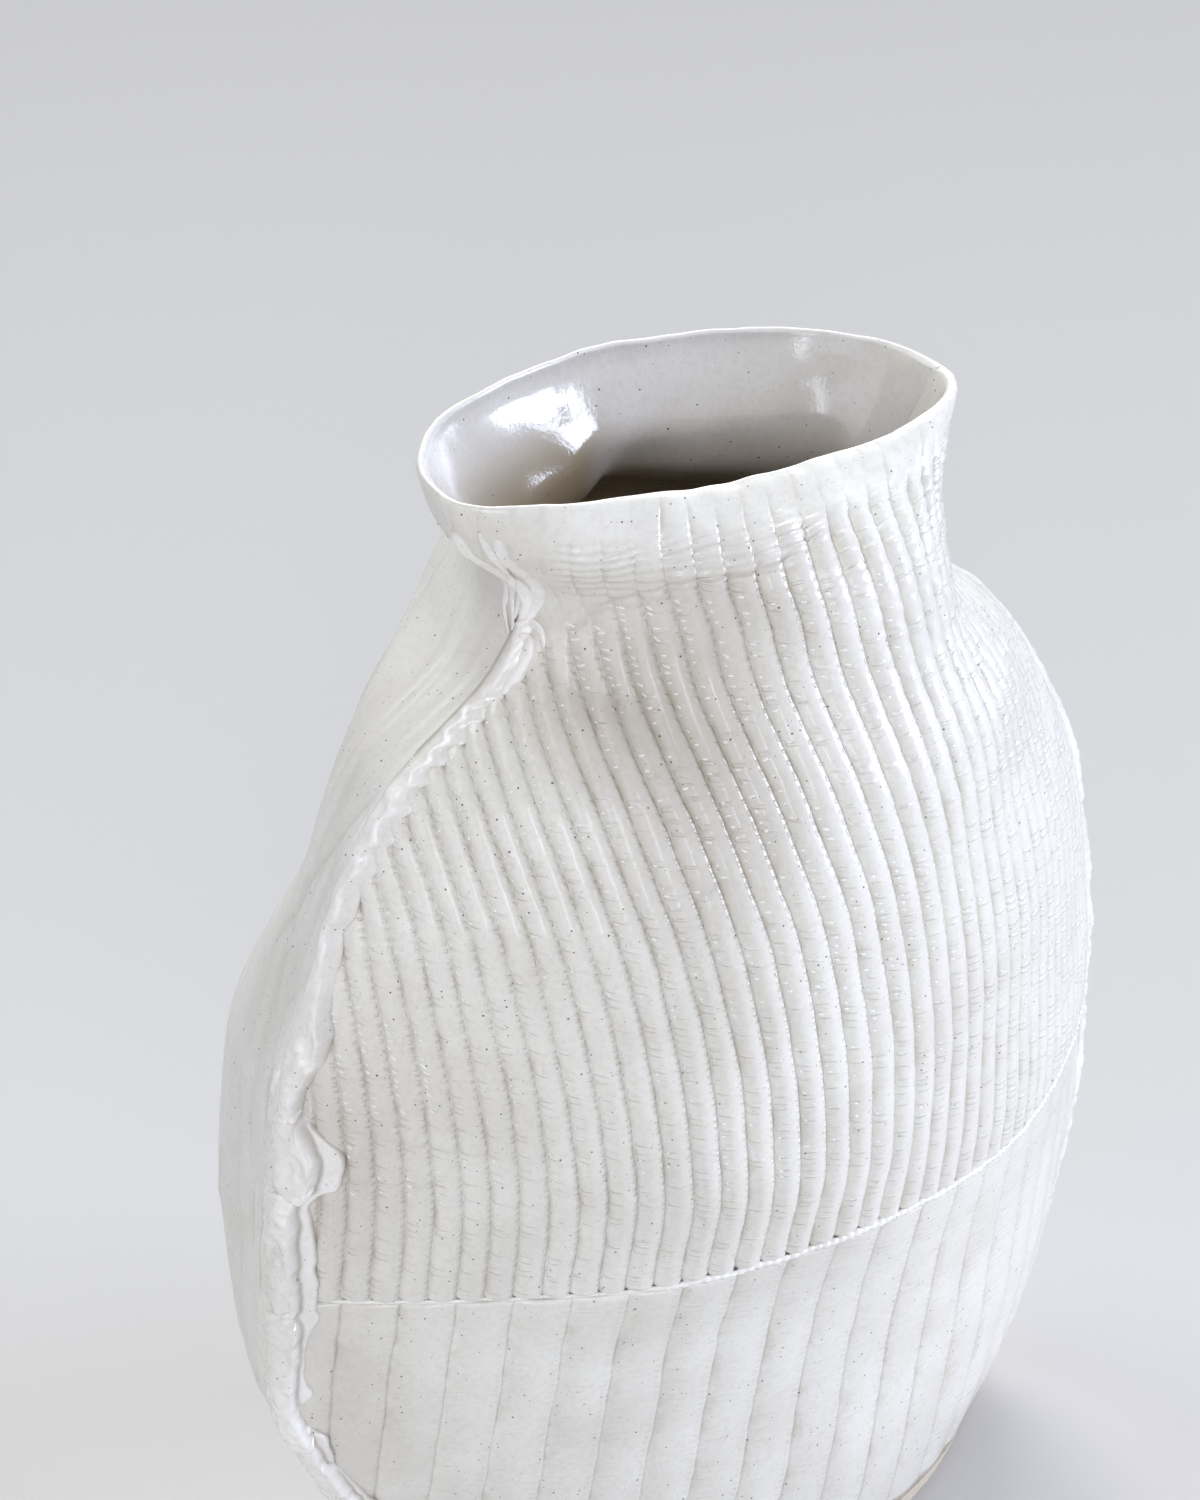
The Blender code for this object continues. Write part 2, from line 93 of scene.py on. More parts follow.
LEVELS = (
    Level(0, 65.0, 80.0, 36.0, 34.0, 1.60, 0.03, 0.00, 0.000, 0),
    Level(29, 79.5, 100.2, 38.0, 43.6, 1.70, 0.03, -0.01, -0.012, 0),
    Level(54, 99.8, 107.1, 38.7, 55.8, 1.80, 0.09, -0.06, -0.020, 0),
    Level(84, 110.0, 111.0, 42.8, 71.9, 1.88, 0.09, -0.12, -0.027, 0),
    Level(114, 108.1, 111.2, 51.9, 83.4, 1.93, 0.04, -0.16, -0.0293, 0),
    Level(144, 106.1, 108.4, 58.9, 82.6, 1.93, -0.03, -0.10, -0.0287, 0),
    Level(174, 100.8, 102.3, 61.9, 68.2, 1.86, -0.04, -0.04, -0.0274, 0),
    Level(202, 93.2, 89.3, 62.6, 51.5, 1.74, -0.04, 0.02, -0.0256, 0),
    Level(226, 79.8, 72.3, 57.9, 52.0, 1.60, 0.08, 0.01, -0.0242, 1),
    Level(245, 52.9, 52.4, 47.6, 62.0, 1.50, 0.14, -0.05, -0.0232, 5),
    Level(259, 45.7, 51.1, 43.6, 53.2, 1.42, 0.07, -0.02, -0.0227, 8),
    Level(275, 61.0, 56.0, 31.7, 45.9, 1.19, 0.095, 0.01, -0.049, 3),
    Level(286, 66.2, 60.1, 21.8, 41.2, 1.00, 0.12, 0.03, -0.0769, -2),
)
RIM_HEIGHT = LEVELS[-1].height
WAIST_HEIGHT = LEVELS[-3].height
BACK_PINCH = 0.92
WALL = 4.8
LIP_WALL = 2.8
SEAM_DEPTH = 8.0
WALL_BOTTOM = 6.3
BELLY_SEAM = 110.0
# The back's inside leans in below the lip, so that the mouth narrows like a funnel.
THROAT = 13.0
THROAT_HEIGHT = 266.0


@dataclass(frozen=True)
class RibSize:
    """Sizes of one set of ribs, in millimetres.

    datum is where a groove runs at the middle of the front, crown how far a rib falls from its
    crest to its edges, lip the height of the raised edge before the next groove, and wander how
    far a groove strays. phases are the columns of points across a rib, as shares of the pitch.
    """

    pitch: float
    datum: float
    groove_depth: float
    groove_reach: float
    crown: float
    lip: float
    wander: float
    phases: tuple[float, ...]
    lip_place: float = 0.75
    lip_reach: float = 0.45
    depth_varies: float = 0.3


FINE_RIBS = RibSize(
    pitch=6.0,
    datum=-116.58,
    groove_depth=0.14,
    groove_reach=0.17,
    crown=1.2,
    lip=0.16,
    wander=0.24,
    phases=(0.0, 0.026, 0.06, 0.14, 0.30, 0.50, 0.69, 0.82, 0.90, 0.945, 0.976),
)
WIDE_RIBS = RibSize(
    pitch=12.12,
    datum=-110.46,
    groove_depth=0.22,
    groove_reach=0.19,
    crown=0.7,
    lip=0.24,
    wander=0.34,
    phases=(0.0, 0.014, 0.035, 0.08, 0.17, 0.32, 0.5, 0.68, 0.82, 0.90, 0.945, 0.97, 0.986),
)


def ramp(value: np.ndarray, low: float, high: float) -> np.ndarray:
    """A smooth rise from 0 at low to 1 at high, which may be the lower of the two."""
    share = np.clip((np.asarray(value, float) - low) / (high - low), 0.0, 1.0)
    return share * share * (3.0 - 2.0 * share)


def bump(value: np.ndarray, middle: float, reach: float) -> np.ndarray:
    """A bell of height 1 round its middle, down to about a third at its reach."""
    return np.exp(-(((np.asarray(value, float) - middle) / reach) ** 2))


def unit(vectors: np.ndarray) -> np.ndarray:
    """The directions of vectors, which lie along the last axis."""
    return vectors / np.linalg.norm(vectors, axis=-1, keepdims=True)


def smooth_curve(places: np.ndarray, knots: np.ndarray, values: np.ndarray) -> np.ndarray:
    """Reads a smooth curve through knots that overshoots none of them.

    Args:
        places: Where to read the curve.
        knots: Rising places of the known values.
        values: The values there.

    Returns:
        The curve's values, of the shape of places.
    """
    knots = np.asarray(knots, float)
    values = np.asarray(values, float)
    spans = np.diff(knots)
    grades = np.diff(values) / spans
    slopes = np.zeros(len(knots))
    slopes[0], slopes[-1] = grades[0], grades[-1]
    before, after = grades[:-1], grades[1:]
    rising = before * after > 0
    total = np.where(rising, before + after, 1.0)
    slopes[1:-1] = np.where(rising, 2 * before * after / total, 0.0)
    places = np.clip(places, knots[0], knots[-1])
    index = np.clip(np.searchsorted(knots, places) - 1, 0, len(spans) - 1)
    share = (places - knots[index]) / spans[index]
    return (
        (1 + 2 * share) * (1 - share) ** 2 * values[index]
        + share * (1 - share) ** 2 * spans[index] * slopes[index]
        + share**2 * (3 - 2 * share) * values[index + 1]
        + share**2 * (share - 1) * spans[index] * slopes[index + 1]
    )


@dataclass
class Noise:
    """A smooth random field between -1 and 1, the same on each run. seed picks the field."""

    seed: int
    lattice: int = 256

    def __post_init__(self) -> None:
        """Fills the lattice."""
        shape = (self.lattice, self.lattice)
        self.values = np.random.default_rng(self.seed).uniform(-1.0, 1.0, shape)

    def at(self, across: np.ndarray, along: np.ndarray) -> np.ndarray:
        """Reads the field.

        Args:
            across: First coordinate, in lattice steps.
            along: Second coordinate, in lattice steps.

        Returns:
            The field's values.
        """
        across, along = np.broadcast_arrays(np.asarray(across, float), np.asarray(along, float))
        column = np.floor(across).astype(int)
        row = np.floor(along).astype(int)
        share_x = across - column
        share_y = along - row
        share_x = share_x**3 * (share_x * (share_x * 6 - 15) + 10)
        share_y = share_y**3 * (share_y * (share_y * 6 - 15) + 10)

        def corner(step_x: int, step_y: int) -> np.ndarray:
            """The values at one corner of each cell."""
            return self.values[(column + step_x) % self.lattice, (row + step_y) % self.lattice]

        low = corner(0, 0) * (1 - share_x) + corner(1, 0) * share_x
        high = corner(0, 1) * (1 - share_x) + corner(1, 1) * share_x
        return low * (1 - share_y) + high * share_y


@dataclass
class JarForm:
    """The smooth outside of the jar, which every piece of the dressing follows.

    levels are the cuts through it, from the foot up. edge_turn keeps normals off the very seams,
    where the wall has no direction of its own.
    """

    levels: tuple[Level, ...]
    edge_turn: float = 0.03
    table_rows: int = 1145

    TURNS = np.linspace(0.0, math.pi, 721)

    def __post_init__(self) -> None:
        """Tabulates the levels every quarter of a millimetre."""
        low, high = self.levels[0].height, self.levels[-1].height
        self.heights = np.linspace(low, high, self.table_rows)
        self.tables = {field.name: self.tabulate(field.name) for field in fields(Level)}
        self.rim_noise = Noise(11)

    def tabulate(self, name: str) -> np.ndarray:
        """One measure of the levels at all of the tabulated heights."""
        knots = [level.height for level in self.levels]
        return smooth_curve(self.heights, knots, [getattr(level, name) for level in self.levels])

    def measure(self, name: str, heights: np.ndarray) -> np.ndarray:
        """A measure of the jar, by its name in Level, at any heights up the wall."""
        return np.interp(heights, self.heights, self.tables[name])

    def collar_share(self, heights: np.ndarray) -> np.ndarray:
        """0 at the waist and below, 1 at the rim."""
        return np.clip((heights - WAIST_HEIGHT) / (RIM_HEIGHT - WAIST_HEIGHT), 0.0, 1.0)

    def thickness(self, heights: np.ndarray) -> np.ndarray:
        """Thickness of the slabs, which thin from the waist to the lip."""
        return WALL + (LIP_WALL - WALL) * self.collar_share(heights)

    def point(
        self,
        side: Side,
        turns: np.ndarray,
        heights: np.ndarray,
        inset: np.ndarray | float = 0.0,
    ) -> np.ndarray:
        """Points of a wall.

        Args:
            side: The front or the back wall.
            turns: From 0 at the left seam to pi at the right one.
            heights: Heights up the wall.
            inset: Depth into the wall. At the seams the depth grows to that of the joint.

        Returns:
            Points in millimetres, with a last axis of three.
        """
        turns, heights, inset = np.broadcast_arrays(
            np.asarray(turns, float), np.asarray(heights, float), np.asarray(inset, float)
        )
        collar = self.collar_share(heights)
        seam_factor = (SEAM_DEPTH + (LIP_WALL - SEAM_DEPTH) * collar) / self.thickness(heights)
        left = self.measure("left", heights) - inset * seam_factor
        right = self.measure("right", heights) - inset * seam_factor
        half = (left + right) / 2
        bulge = np.maximum(np.sin(turns), 0.0)
        if side is Side.FRONT:
            depth = (self.measure("front", heights) - inset) * bulge ** self.measure(
                "pinch", heights
            )
            skew = self.measure("front_skew", heights)
            lift = self.measure("lift", heights) * bulge
        else:
            pinch = BACK_PINCH + (1.0 - BACK_PINCH) * collar
            depth = (self.measure("back", heights) - inset) * bulge**pinch
            skew = self.measure("back_skew", heights)
            lift = 0.0
        x = (right - left) / 2 - half * np.cos(turns) + skew * half * bulge**2
        y = side.value * (depth + 0.01)
        z = heights + self.measure("tilt", heights) * x + lift
        return np.stack(np.broadcast_arrays(x, y, z), axis=-1)

    def normal(self, side: Side, turns: np.ndarray, heights: np.ndarray) -> np.ndarray:
        """Outward directions of a wall.

        Args:
            side: The front or the back wall.
            turns: As in point.
            heights: As in point.

        Returns:
            Unit vectors with a last axis of three.
        """
        turns = np.clip(turns, self.edge_turn, math.pi - self.edge_turn)
        heights = np.clip(heights, 1.0, RIM_HEIGHT - 1.0)
        across = self.point(side, turns + 0.01, heights) - self.point(side, turns - 0.01, heights)
        upward = self.point(side, turns, heights + 0.8) - self.point(side, turns, heights - 0.8)
        return unit(np.cross(across, upward) * (-side.value))

    def arc(self, side: Side, height: float) -> tuple[np.ndarray, np.ndarray]:
        """Lengths along the outside of a wall at one height.

        Args:
            side: The front or the back wall.
            height: Height up the wall.

        Returns:
            The lengths from the left seam at each of TURNS, and the X there.
        """
        points = self.point(side, self.TURNS, height)
        steps = np.linalg.norm(np.diff(points[:, :2], axis=0), axis=1)
        return np.concatenate(([0.0], np.cumsum(steps))), points[:, 0]

    def rim_sway(self, points: np.ndarray) -> np.ndarray:
        """The small unevenness of a hand-cut rim, the same for both walls.

        Args:
            points: Points of the collar.

        Returns:
            Offsets to add to the points.
        """
        share = ramp(points[..., 2], RIM_HEIGHT - 24.0, RIM_HEIGHT)[..., None]
        x, y = points[..., 0], points[..., 1]
        rise = 0.55 * self.rim_noise.at(x / 15 + 40, y / 15 + 40)
        rise = rise + 0.2 * self.rim_noise.at(x / 5 + 90, y / 5 + 90)
        outward = 0.35 * self.rim_noise.at(x / 12 + 9, y / 12 + 70)
        away = np.stack([x, y, np.zeros_like(x)], axis=-1)
        away = away / np.maximum(np.linalg.norm(away, axis=-1, keepdims=True), 1.0)
        offset = away * outward[..., None]
        offset[..., 2] += rise
        return offset * share


@dataclass
class RibLines:
    """Where the grooves between the ribs run on the front wall.

    seed picks how they wander. The reaches, from the middle of the front, take in all of it.
    """

    form: JarForm
    size: RibSize
    seed: int
    reach_left: float = 150.0
    reach_right: float = 160.0

    # Heights up the wall, and how far the ribs have moved along it there.
    DRIFTS = (
        *((0, -6.0), (60, 1.3), (90, 1.8), (124, 0.0), (150, -3.0), (180, -8.0)),
        *((210, -14.8), (236, -20.4), (254, -24.2), (262, -25.2)),
        *((270, -24.0), (278, -21.8), (286, -18.7)),
    )

    def __post_init__(self) -> None:
        """Counts the grooves that the front has room for."""
        self.noise = Noise(self.seed)
        first = math.floor((-self.reach_left - self.size.datum) / self.size.pitch)
        last = math.ceil((self.reach_right - self.size.datum) / self.size.pitch)
        self.grooves = np.arange(first, last + 1)

    def drift(self, height: float) -> float:
        """How far the ribs have moved along the wall at a height."""
        heights, lengths = np.array(self.DRIFTS, float).T
        return float(smooth_curve(height, heights, lengths))

    def places(self, height: float, lengths: np.ndarray, across: np.ndarray) -> np.ndarray:
        """Lengths along the wall from the left seam to each groove.

        Args:
            height: Height up the wall.
            lengths: As found by JarForm.arc.
            across: As found by JarForm.arc.

        Returns:
            One length per groove.
        """
        middle = np.interp(0.0, across, lengths)
        start = middle + self.drift(height) + self.size.datum
        slow = self.noise.at(self.grooves * 3.7, height / 17.0)
        quick = self.noise.at(self.grooves * 5.3 + 60, height / 5.5)
        scallop = self.noise.at(self.grooves * 7.9 + 120, height / 1.9)
        sway = self.size.wander * (slow + 0.45 * quick + 0.35 * scallop)
        return start + self.grooves * self.size.pitch + sway


@dataclass
class Patch:
    """A grid of points on a wall, with what the relief and the glaze need to know of each."""

    turns: np.ndarray
    normals: np.ndarray
    ribs: np.ndarray
    lengths: np.ndarray
    heights: np.ndarray
    widths: np.ndarray
    duplicates: np.ndarray


# Lengths from each seam of the plain columns along it.
SEAM_LAND = (0.0, 0.15, 0.4, 0.9, 1.8)
# How far above and below the belly seam the rows follow its sag.
SAG_REACH = 14.0


def front_patch(form: JarForm, lines: RibLines, rows: np.ndarray) -> Patch:
    """Lays out the ribbed front between its seams, its columns following the ribs.

    Args:
        form: The smooth jar.
        lines: The grooves.
        rows: Heights of the rows.

    Returns:
        The patch. Columns that run out at a seam land share their points there.
    """
    phases = np.array(lines.size.phases)
    counted = (lines.grooves[:-1, None] + phases[None]).ravel()
    land_in = np.array(SEAM_LAND)
    columns = len(counted) + 2 * len(land_in)
    shape = (len(rows), columns)
    turns = np.zeros(shape)
    ribs = np.zeros(shape)
    lengths_at = np.zeros(shape)
    widths = np.zeros(shape)
    duplicates = np.tile(np.arange(columns), (len(rows), 1))
    for number, height in enumerate(rows):
        lengths, across = form.arc(Side.FRONT, height)
        total = lengths[-1]
        grooves = lines.places(height, lengths, across)
        spans = np.diff(grooves)
        wanted = (grooves[:-1, None] + spans[:, None] * phases[None]).ravel()
        low, high = land_in[-1], total - land_in[-1]
        kept = np.clip(wanted, low, high)
        line = np.concatenate([land_in, kept, total - land_in[::-1]])
        turns[number] = np.interp(line, lengths, form.TURNS)
        lengths_at[number] = line
        ribs[number] = np.interp(line, grooves, lines.grooves)
        widths[number] = total
        below = len(land_in) - 1
        above = columns - len(land_in)
        inner = np.arange(len(counted)) + len(land_in)
        duplicates[number, inner[wanted <= low]] = below
        duplicates[number, inner[wanted >= high]] = above
    heights = np.repeat(np.asarray(rows, float)[:, None], columns, axis=1)
    heights = heights + belly_sag(lengths_at, widths) * bump(heights, BELLY_SEAM, SAG_REACH)
    normals = form.normal(Side.FRONT, turns, heights)
    return Patch(turns, normals, ribs, lengths_at, heights, widths, duplicates)


# Shares of the way across the front, and how far the belly seam lies over its level there.
BELLY_SAG = (
    *((0.0, -1.0), (0.04, -1.0), (0.19, 0.1), (0.31, -0.5), (0.41, 0.9)),
    *((0.51, 1.6), (0.63, -0.5), (0.75, -4.0), (1.0, -4.0)),
)


def belly_sag(lengths: np.ndarray, widths: np.ndarray) -> np.ndarray:
    """How far the belly seam lies over its level, by lengths along a front of some width."""
    return smooth_curve(lengths / widths, *np.array(BELLY_SAG).T)


def plain_patch(form: JarForm, side: Side, rows: np.ndarray, columns: np.ndarray) -> Patch:
    """Lays out a plain wall.

    Args:
        form: The smooth jar.
        side: The front or the back wall.
        rows: Heights of the rows.
        columns: Shares of the way along the wall, from 0 to 1.

    Returns:
        The patch, its ribs counted in millimetres from the left seam.
    """
    shape = (len(rows), len(columns))
    turns = np.zeros(shape)
    lengths_at = np.zeros(shape)
    widths = np.zeros(shape)
    for number, height in enumerate(rows):
        lengths, _ = form.arc(side, height)
        line = columns * lengths[-1]
        turns[number] = np.interp(line, lengths, form.TURNS)
        lengths_at[number] = line
        widths[number] = lengths[-1]
    heights = np.repeat(np.asarray(rows, float)[:, None], len(columns), axis=1)
    normals = form.normal(side, turns, heights)
    duplicates = np.tile(np.arange(len(columns)), (len(rows), 1))
    return Patch(turns, normals, lengths_at, lengths_at, heights, widths, duplicates)


@dataclass(frozen=True)
class Crease:
    """A line pressed or folded into a wall, its path in ribs across and millimetres up.

    bank is the height of the clay pushed up over it, and run_out the share of its length in
    which it fades at either end.
    """

    path: tuple[tuple[float, float], ...]
    depth: float
    reach: float
    bank: float = 0.0
    bank_reach: float = 1.6
    run_out: float = 0.12

    def press(self, ribs: np.ndarray, heights: np.ndarray, pitch: float) -> np.ndarray:
        """How far the crease moves each point along its normal.

        Args:
            ribs: Rib coordinates of the points.
            heights: Heights of the points.
            pitch: Millimetres per rib.

        Returns:
            Offsets in millimetres, negative in the crease and positive on the bank over it.
        """
        path = np.array(self.path, float)
        path[:, 0] *= pitch
        across = ribs * pitch
        nearest = np.full(np.shape(across), 1e9)
        over = np.zeros(np.shape(across))
        whole = np.ones(np.shape(across))
        steps = np.linalg.norm(np.diff(path, axis=0), axis=1)
        walked = np.concatenate(([0.0], np.cumsum(steps)))
        for index, (start, end) in enumerate(zip(path, path[1:])):
            along = end - start
            size = steps[index]
            share = (across - start[0]) * along[0] + (heights - start[1]) * along[1]
            share = np.clip(share / size**2, 0.0, 1.0)
            gap_x = across - start[0] - share * along[0]
            gap_y = heights - start[1] - share * along[1]
            gap = np.hypot(gap_x, gap_y)
            closer = gap < nearest
            nearest = np.where(closer, gap, nearest)
            over = np.where(closer, np.sign(gap_y * along[0] - gap_x * along[1]) * gap, over)
            place = walked[index] + share * size
            ends = ramp(place, 0.0, self.run_out * walked[-1])
            ends = ends * ramp(place, walked[-1], (1.0 - self.run_out) * walked[-1])
            whole = np.where(closer, ends, whole)
        valley = -self.depth * np.exp(-((nearest / self.reach) ** 2))
        away = (over - 1.3 * self.bank_reach) / self.bank_reach
        return (valley + self.bank * np.exp(-(away**2))) * whole


def press_all(
    creases: tuple[Crease, ...], ribs: np.ndarray, heights: np.ndarray, pitch: float
) -> tuple[np.ndarray, np.ndarray]:
    """Presses several creases into a wall.

    Args:
        creases: The creases.
        ribs: Rib coordinates of the points.
        heights: Heights of the points.
        pitch: Millimetres per rib.

    Returns:
        Offsets in millimetres, and how deep each point lies in a crease, from 0 to 1.
    """
    pressed = [crease.press(ribs, heights, pitch) for crease in creases]
    depths = [-offset / crease.depth for crease, offset in zip(creases, pressed)]
    return sum(pressed), np.clip(np.maximum.reduce(depths), 0.0, 1.0)


@dataclass(frozen=True)
class Swell:
    """A round rise or hollow in a wall, in ribs across and millimetres up."""

    rib: float
    height: float
    reach_ribs: float
    reach_up: float
    rise: float

    def lift(self, ribs: np.ndarray, heights: np.ndarray) -> np.ndarray:
        """How far the swell moves each point along its normal."""
        return self.rise * bump(ribs, self.rib, self.reach_ribs) * bump(
            heights, self.height, self.reach_up
        )


NECK_CREASE = Crease(
    path=(
        (13.4, 251.8),
        (14.4, 255.2),
        (15.6, 259.5),
        (17.1, 263.2),
        (19.0, 266.3),
        (20.8, 267.4),
        (21.9, 269.0),
        (23.0, 272.8),
    ),
    depth=0.7,
    reach=0.6,
    bank=0.3,
    bank_reach=1.0,
)
CROSS_LINES = (
    Crease(path=((0.8, 155.5), (3.0, 153.8), (6.6, 152.2)), depth=0.28, reach=0.5, bank=0.08),
    Crease(path=((1.0, 142.0), (3.6, 143.2), (4.8, 144.6)), depth=0.3, reach=0.5, bank=0.1),
    Crease(path=((14.9, 214.0), (16.2, 217.0)), depth=0.3, reach=0.6, bank=0.15),
)
UPPER_SWELLS = (
    Swell(14.4, 244.5, 0.8, 4.5, -1.3),
    Swell(22.4, 275.0, 0.55, 2.6, 0.5),
    Swell(23.6, 273.5, 0.5, 2.4, 0.55),
    Swell(24.6, 277.0, 0.8, 1.8, 0.35),
    Swell(21.0, 272.5, 0.6, 3.0, 0.3),
    Swell(18.7, 262.0, 0.25, 1.0, 0.45),
    Swell(19.5, 205.0, 6.0, 22.0, 0.5),
    Swell(9.0, 170.0, 5.0, 16.0, 0.4),
)
# Ribs, and the heights at which they end under the lip.
RIB_TOPS = (
    *((11.0, 250.0), (13.5, 262.0), (15.0, 278.5), (17.0, 277.0), (18.0, 283.0)),
    *((20.0, 281.0), (22.4, 281.5), (23.2, 276.0), (25.4, 277.6), (28.0, 277.5)),
    (40.0, 279.0),
)


class Relief(Protocol):
    """What presses the outside of a wall."""

    def read(self, patch: Patch) -> tuple[np.ndarray, np.ndarray, np.ndarray]:
        """Reads the relief.

        Args:
            patch: Where to read it.

        Returns:
            Offsets along the normals in millimetres, how deep each point lies in a groove or
            crease, where the glaze paints shade, and how strongly the knit marks show there, both
            from 0 to 1.
        """


@dataclass
class UpperRelief:
    """Relief of the upper front slab: fine ribs, neck wrinkles, creases and lumps.

    Pitches and heights are in millimetres. rise is the height of the ribs' crests, and sink how
    far the whole relief lies in the clay.
    """

    size: RibSize
    rise: float = 0.22
    sink: float = 0.25
    wrinkle_pitch: float = 2.3
    wrinkle_height: float = 1.2
    row_pitch: float = 3.9
    row_height: float = 0.5
    lattice_height: float = 0.22

    def __post_init__(self) -> None:
        """Seeds what makes it uneven."""
        self.depths, self.lumps, self.small, self.ragged = map(Noise, (21, 22, 23, 24))

    def wrinkles(
        self, ribs: np.ndarray, heights: np.ndarray, above_crease: np.ndarray
    ) -> tuple[np.ndarray, np.ndarray]:
        """The wrinkles under the collar, where the cloth bunched up.

        Args:
            ribs: Rib coordinates of the points.
            heights: Heights of the points.
            above_crease: Their heights over the crease round the neck.

        Returns:
            Offsets in millimetres, and how deep each point lies between wrinkles.
        """
        zone = ramp(above_crease, -4.0, 0.0) * ramp(heights, 279.5, 275.0)
        zone = zone * ramp(ribs, 14.2, 15.0) * ramp(ribs, 24.6, 23.0)
        number = np.floor(ribs)
        walk = heights / self.wrinkle_pitch - 0.22 * (ribs - number) - 0.10 * ribs
        walk = walk + 0.35 * self.small.at(ribs / 1.6, heights / 8.0)
        folds = np.abs(np.sin(math.pi * walk)) ** 0.6
        strength = zone * (0.62 + 0.38 * self.lumps.at(number * 2.3 + 31, heights / 7.0))
        return self.wrinkle_height * strength * (folds - 0.6), strength * (1.0 - folds) ** 2

    def stitched(self, ribs: np.ndarray, heights: np.ndarray) -> np.ndarray:
        """The rows of stitches on the right shoulder, and the slanting lattice beside them.

        Args:
            ribs: Rib coordinates of the points.
            heights: Heights of the points.

        Returns:
            Offsets in millimetres.
        """
        rows = ramp(ribs, 21.0, 25.0) * ramp(heights, 175.0, 225.0)
        walk = heights / self.row_pitch + 0.06 * ribs
        walk = walk + 0.4 * self.small.at(ribs / 2.0, heights / 7.0)
        waves = np.abs(np.sin(math.pi * walk)) ** 0.7 - 0.65
        patchy = 0.5 + 0.5 * self.lumps.at(np.floor(ribs) * 1.9 + 77, heights / 6.0)
        lattice = ramp(ribs, 27.5, 30.0) * ramp(heights, 196.0, 214.0)
        dots = np.sin(2 * math.pi * (ribs / 0.46 + heights / 6.0))
        dots = dots * np.sin(2 * math.pi * (heights / 2.6 - ribs / 2.0))
        return self.row_height * rows * waves * patchy + self.lattice_height * lattice * dots

    def unevenness(self, patch: Patch) -> np.ndarray:
        """The lumps that hands left: broad ones all over, small ones by the seam and neck.

        Args:
            patch: Where to read them.

        Returns:
            Offsets in millimetres.
        """
        ribs, heights, lengths = patch.ribs, patch.heights, patch.lengths
        offset = 0.26 * self.lumps.at(lengths / 19.0, heights / 24.0)
        offset = offset + 0.085 * self.small.at(lengths / 4.2, heights / 5.0)
        ripples = ramp(ribs, 2.0, 5.0) * ramp(ribs, 14.0, 10.0) * bump(heights, 205.0, 26.0)
        offset = offset + 0.13 * ripples * self.small.at(ribs * 1.6 + 11, heights / 1.7)
        ragged = ramp(lengths, 15.0, 5.0) * ramp(heights, 262.0, 250.0)
        offset = offset + 0.42 * ragged * self.ragged.at(lengths / 2.6, heights / 5.5)
        offset = offset + 0.12 * ragged * self.small.at(lengths / 1.2, heights / 2.2)
        knots = ramp(ribs, 24.0, 28.0) * ramp(heights, 225.0, 250.0)
        return offset + 0.16 * knots * self.small.at(lengths / 1.7, heights / 2.0)

    def read(self, patch: Patch) -> tuple[np.ndarray, np.ndarray, np.ndarray]:
        """Reads the relief.

        Args:
            patch: Where to read it.

        Returns:
            What Relief.read gives.
        """
        ribs, heights, lengths = patch.ribs, patch.heights, patch.lengths
        rib_top = np.interp(ribs, *np.array(RIB_TOPS).T)
        below_top = rib_top + 1.2 * self.depths.at(np.floor(ribs) * 3.1, 5.0) - heights
        above_crease = heights - np.interp(ribs, *np.array(NECK_CREASE.path).T)
        soft = ramp(above_crease, -1.5, 0.5) * ramp(ribs, 23.2, 22.0)
        left_end = ramp(ribs, 17.5, 14.0) * ramp(heights, 250.0, 256.0)
        near_seam = ramp(lengths, 2.0, 5.5) * ramp(patch.widths - lengths, 3.0, 8.0)
        fade = ramp(below_top, -1.0, 4.0) * (1.0 - 0.62 * soft) * (1.0 - 0.75 * left_end)
        rounded = ramp(below_top, -1.0, 4.0) * (1.0 - 0.6 * soft)
        offset, recess = rib_relief(patch, self.size, self.depths, fade * near_seam)
        gathered, between = self.wrinkles(ribs, heights, above_crease)
        offset = offset + self.rise * rounded * near_seam + gathered
        offset = offset + rounded * self.stitched(ribs, heights)
        pressed, creased = press_all((NECK_CREASE, *CROSS_LINES), ribs, heights, self.size.pitch)
        offset = offset + pressed + sum(swell.lift(ribs, heights) for swell in UPPER_SWELLS)
        # The glaze paints shade by these depths in grooves, between wrinkles and in creases.
        recess = np.maximum.reduce([recess, between, creased])
        return offset + self.unevenness(patch) - self.sink, recess, fade * near_seam


@dataclass
class LowerRelief:
    """Relief of the lower front slab: wide ribs and a line of dimples, in millimetres."""

    size: RibSize
    sink: float = 0.2
    dimple_height: float = 91.5
    dimple_pitch: float = 3.9
    dimple_depth: float = 0.13
    knit_share: float = 0.35

    def __post_init__(self) -> None:
        """Seeds what makes it uneven."""
        self.depths, self.lumps, self.small = map(Noise, (31, 32, 33))

    def read(self, patch: Patch) -> tuple[np.ndarray, np.ndarray, np.ndarray]:
        """Reads the relief.

        Args:
            patch: Where to read it.

        Returns:
            What Relief.read gives.
        """
        lengths, heights = patch.lengths, patch.heights
        fade = ramp(lengths, 2.0, 5.5) * ramp(patch.widths - lengths, 3.0, 8.0)
        offset, recess = rib_relief(patch, self.size, self.depths, fade)
        offset = offset + 0.3 * self.lumps.at(lengths / 21.0, heights / 24.0)
        offset = offset + 0.07 * self.small.at(lengths / 4.5, heights / 5.0)
        line = self.dimple_height + 1.6 * self.depths.at(lengths / 18.0, 3.0)
        dimples = 0.5 + 0.5 * np.sin(2 * math.pi * lengths / self.dimple_pitch)
        dimples = dimples * bump(heights - line, 0.0, 1.7) * ramp(lengths, 55.0, 75.0)
        return offset - self.dimple_depth * dimples - self.sink, recess, self.knit_share * fade


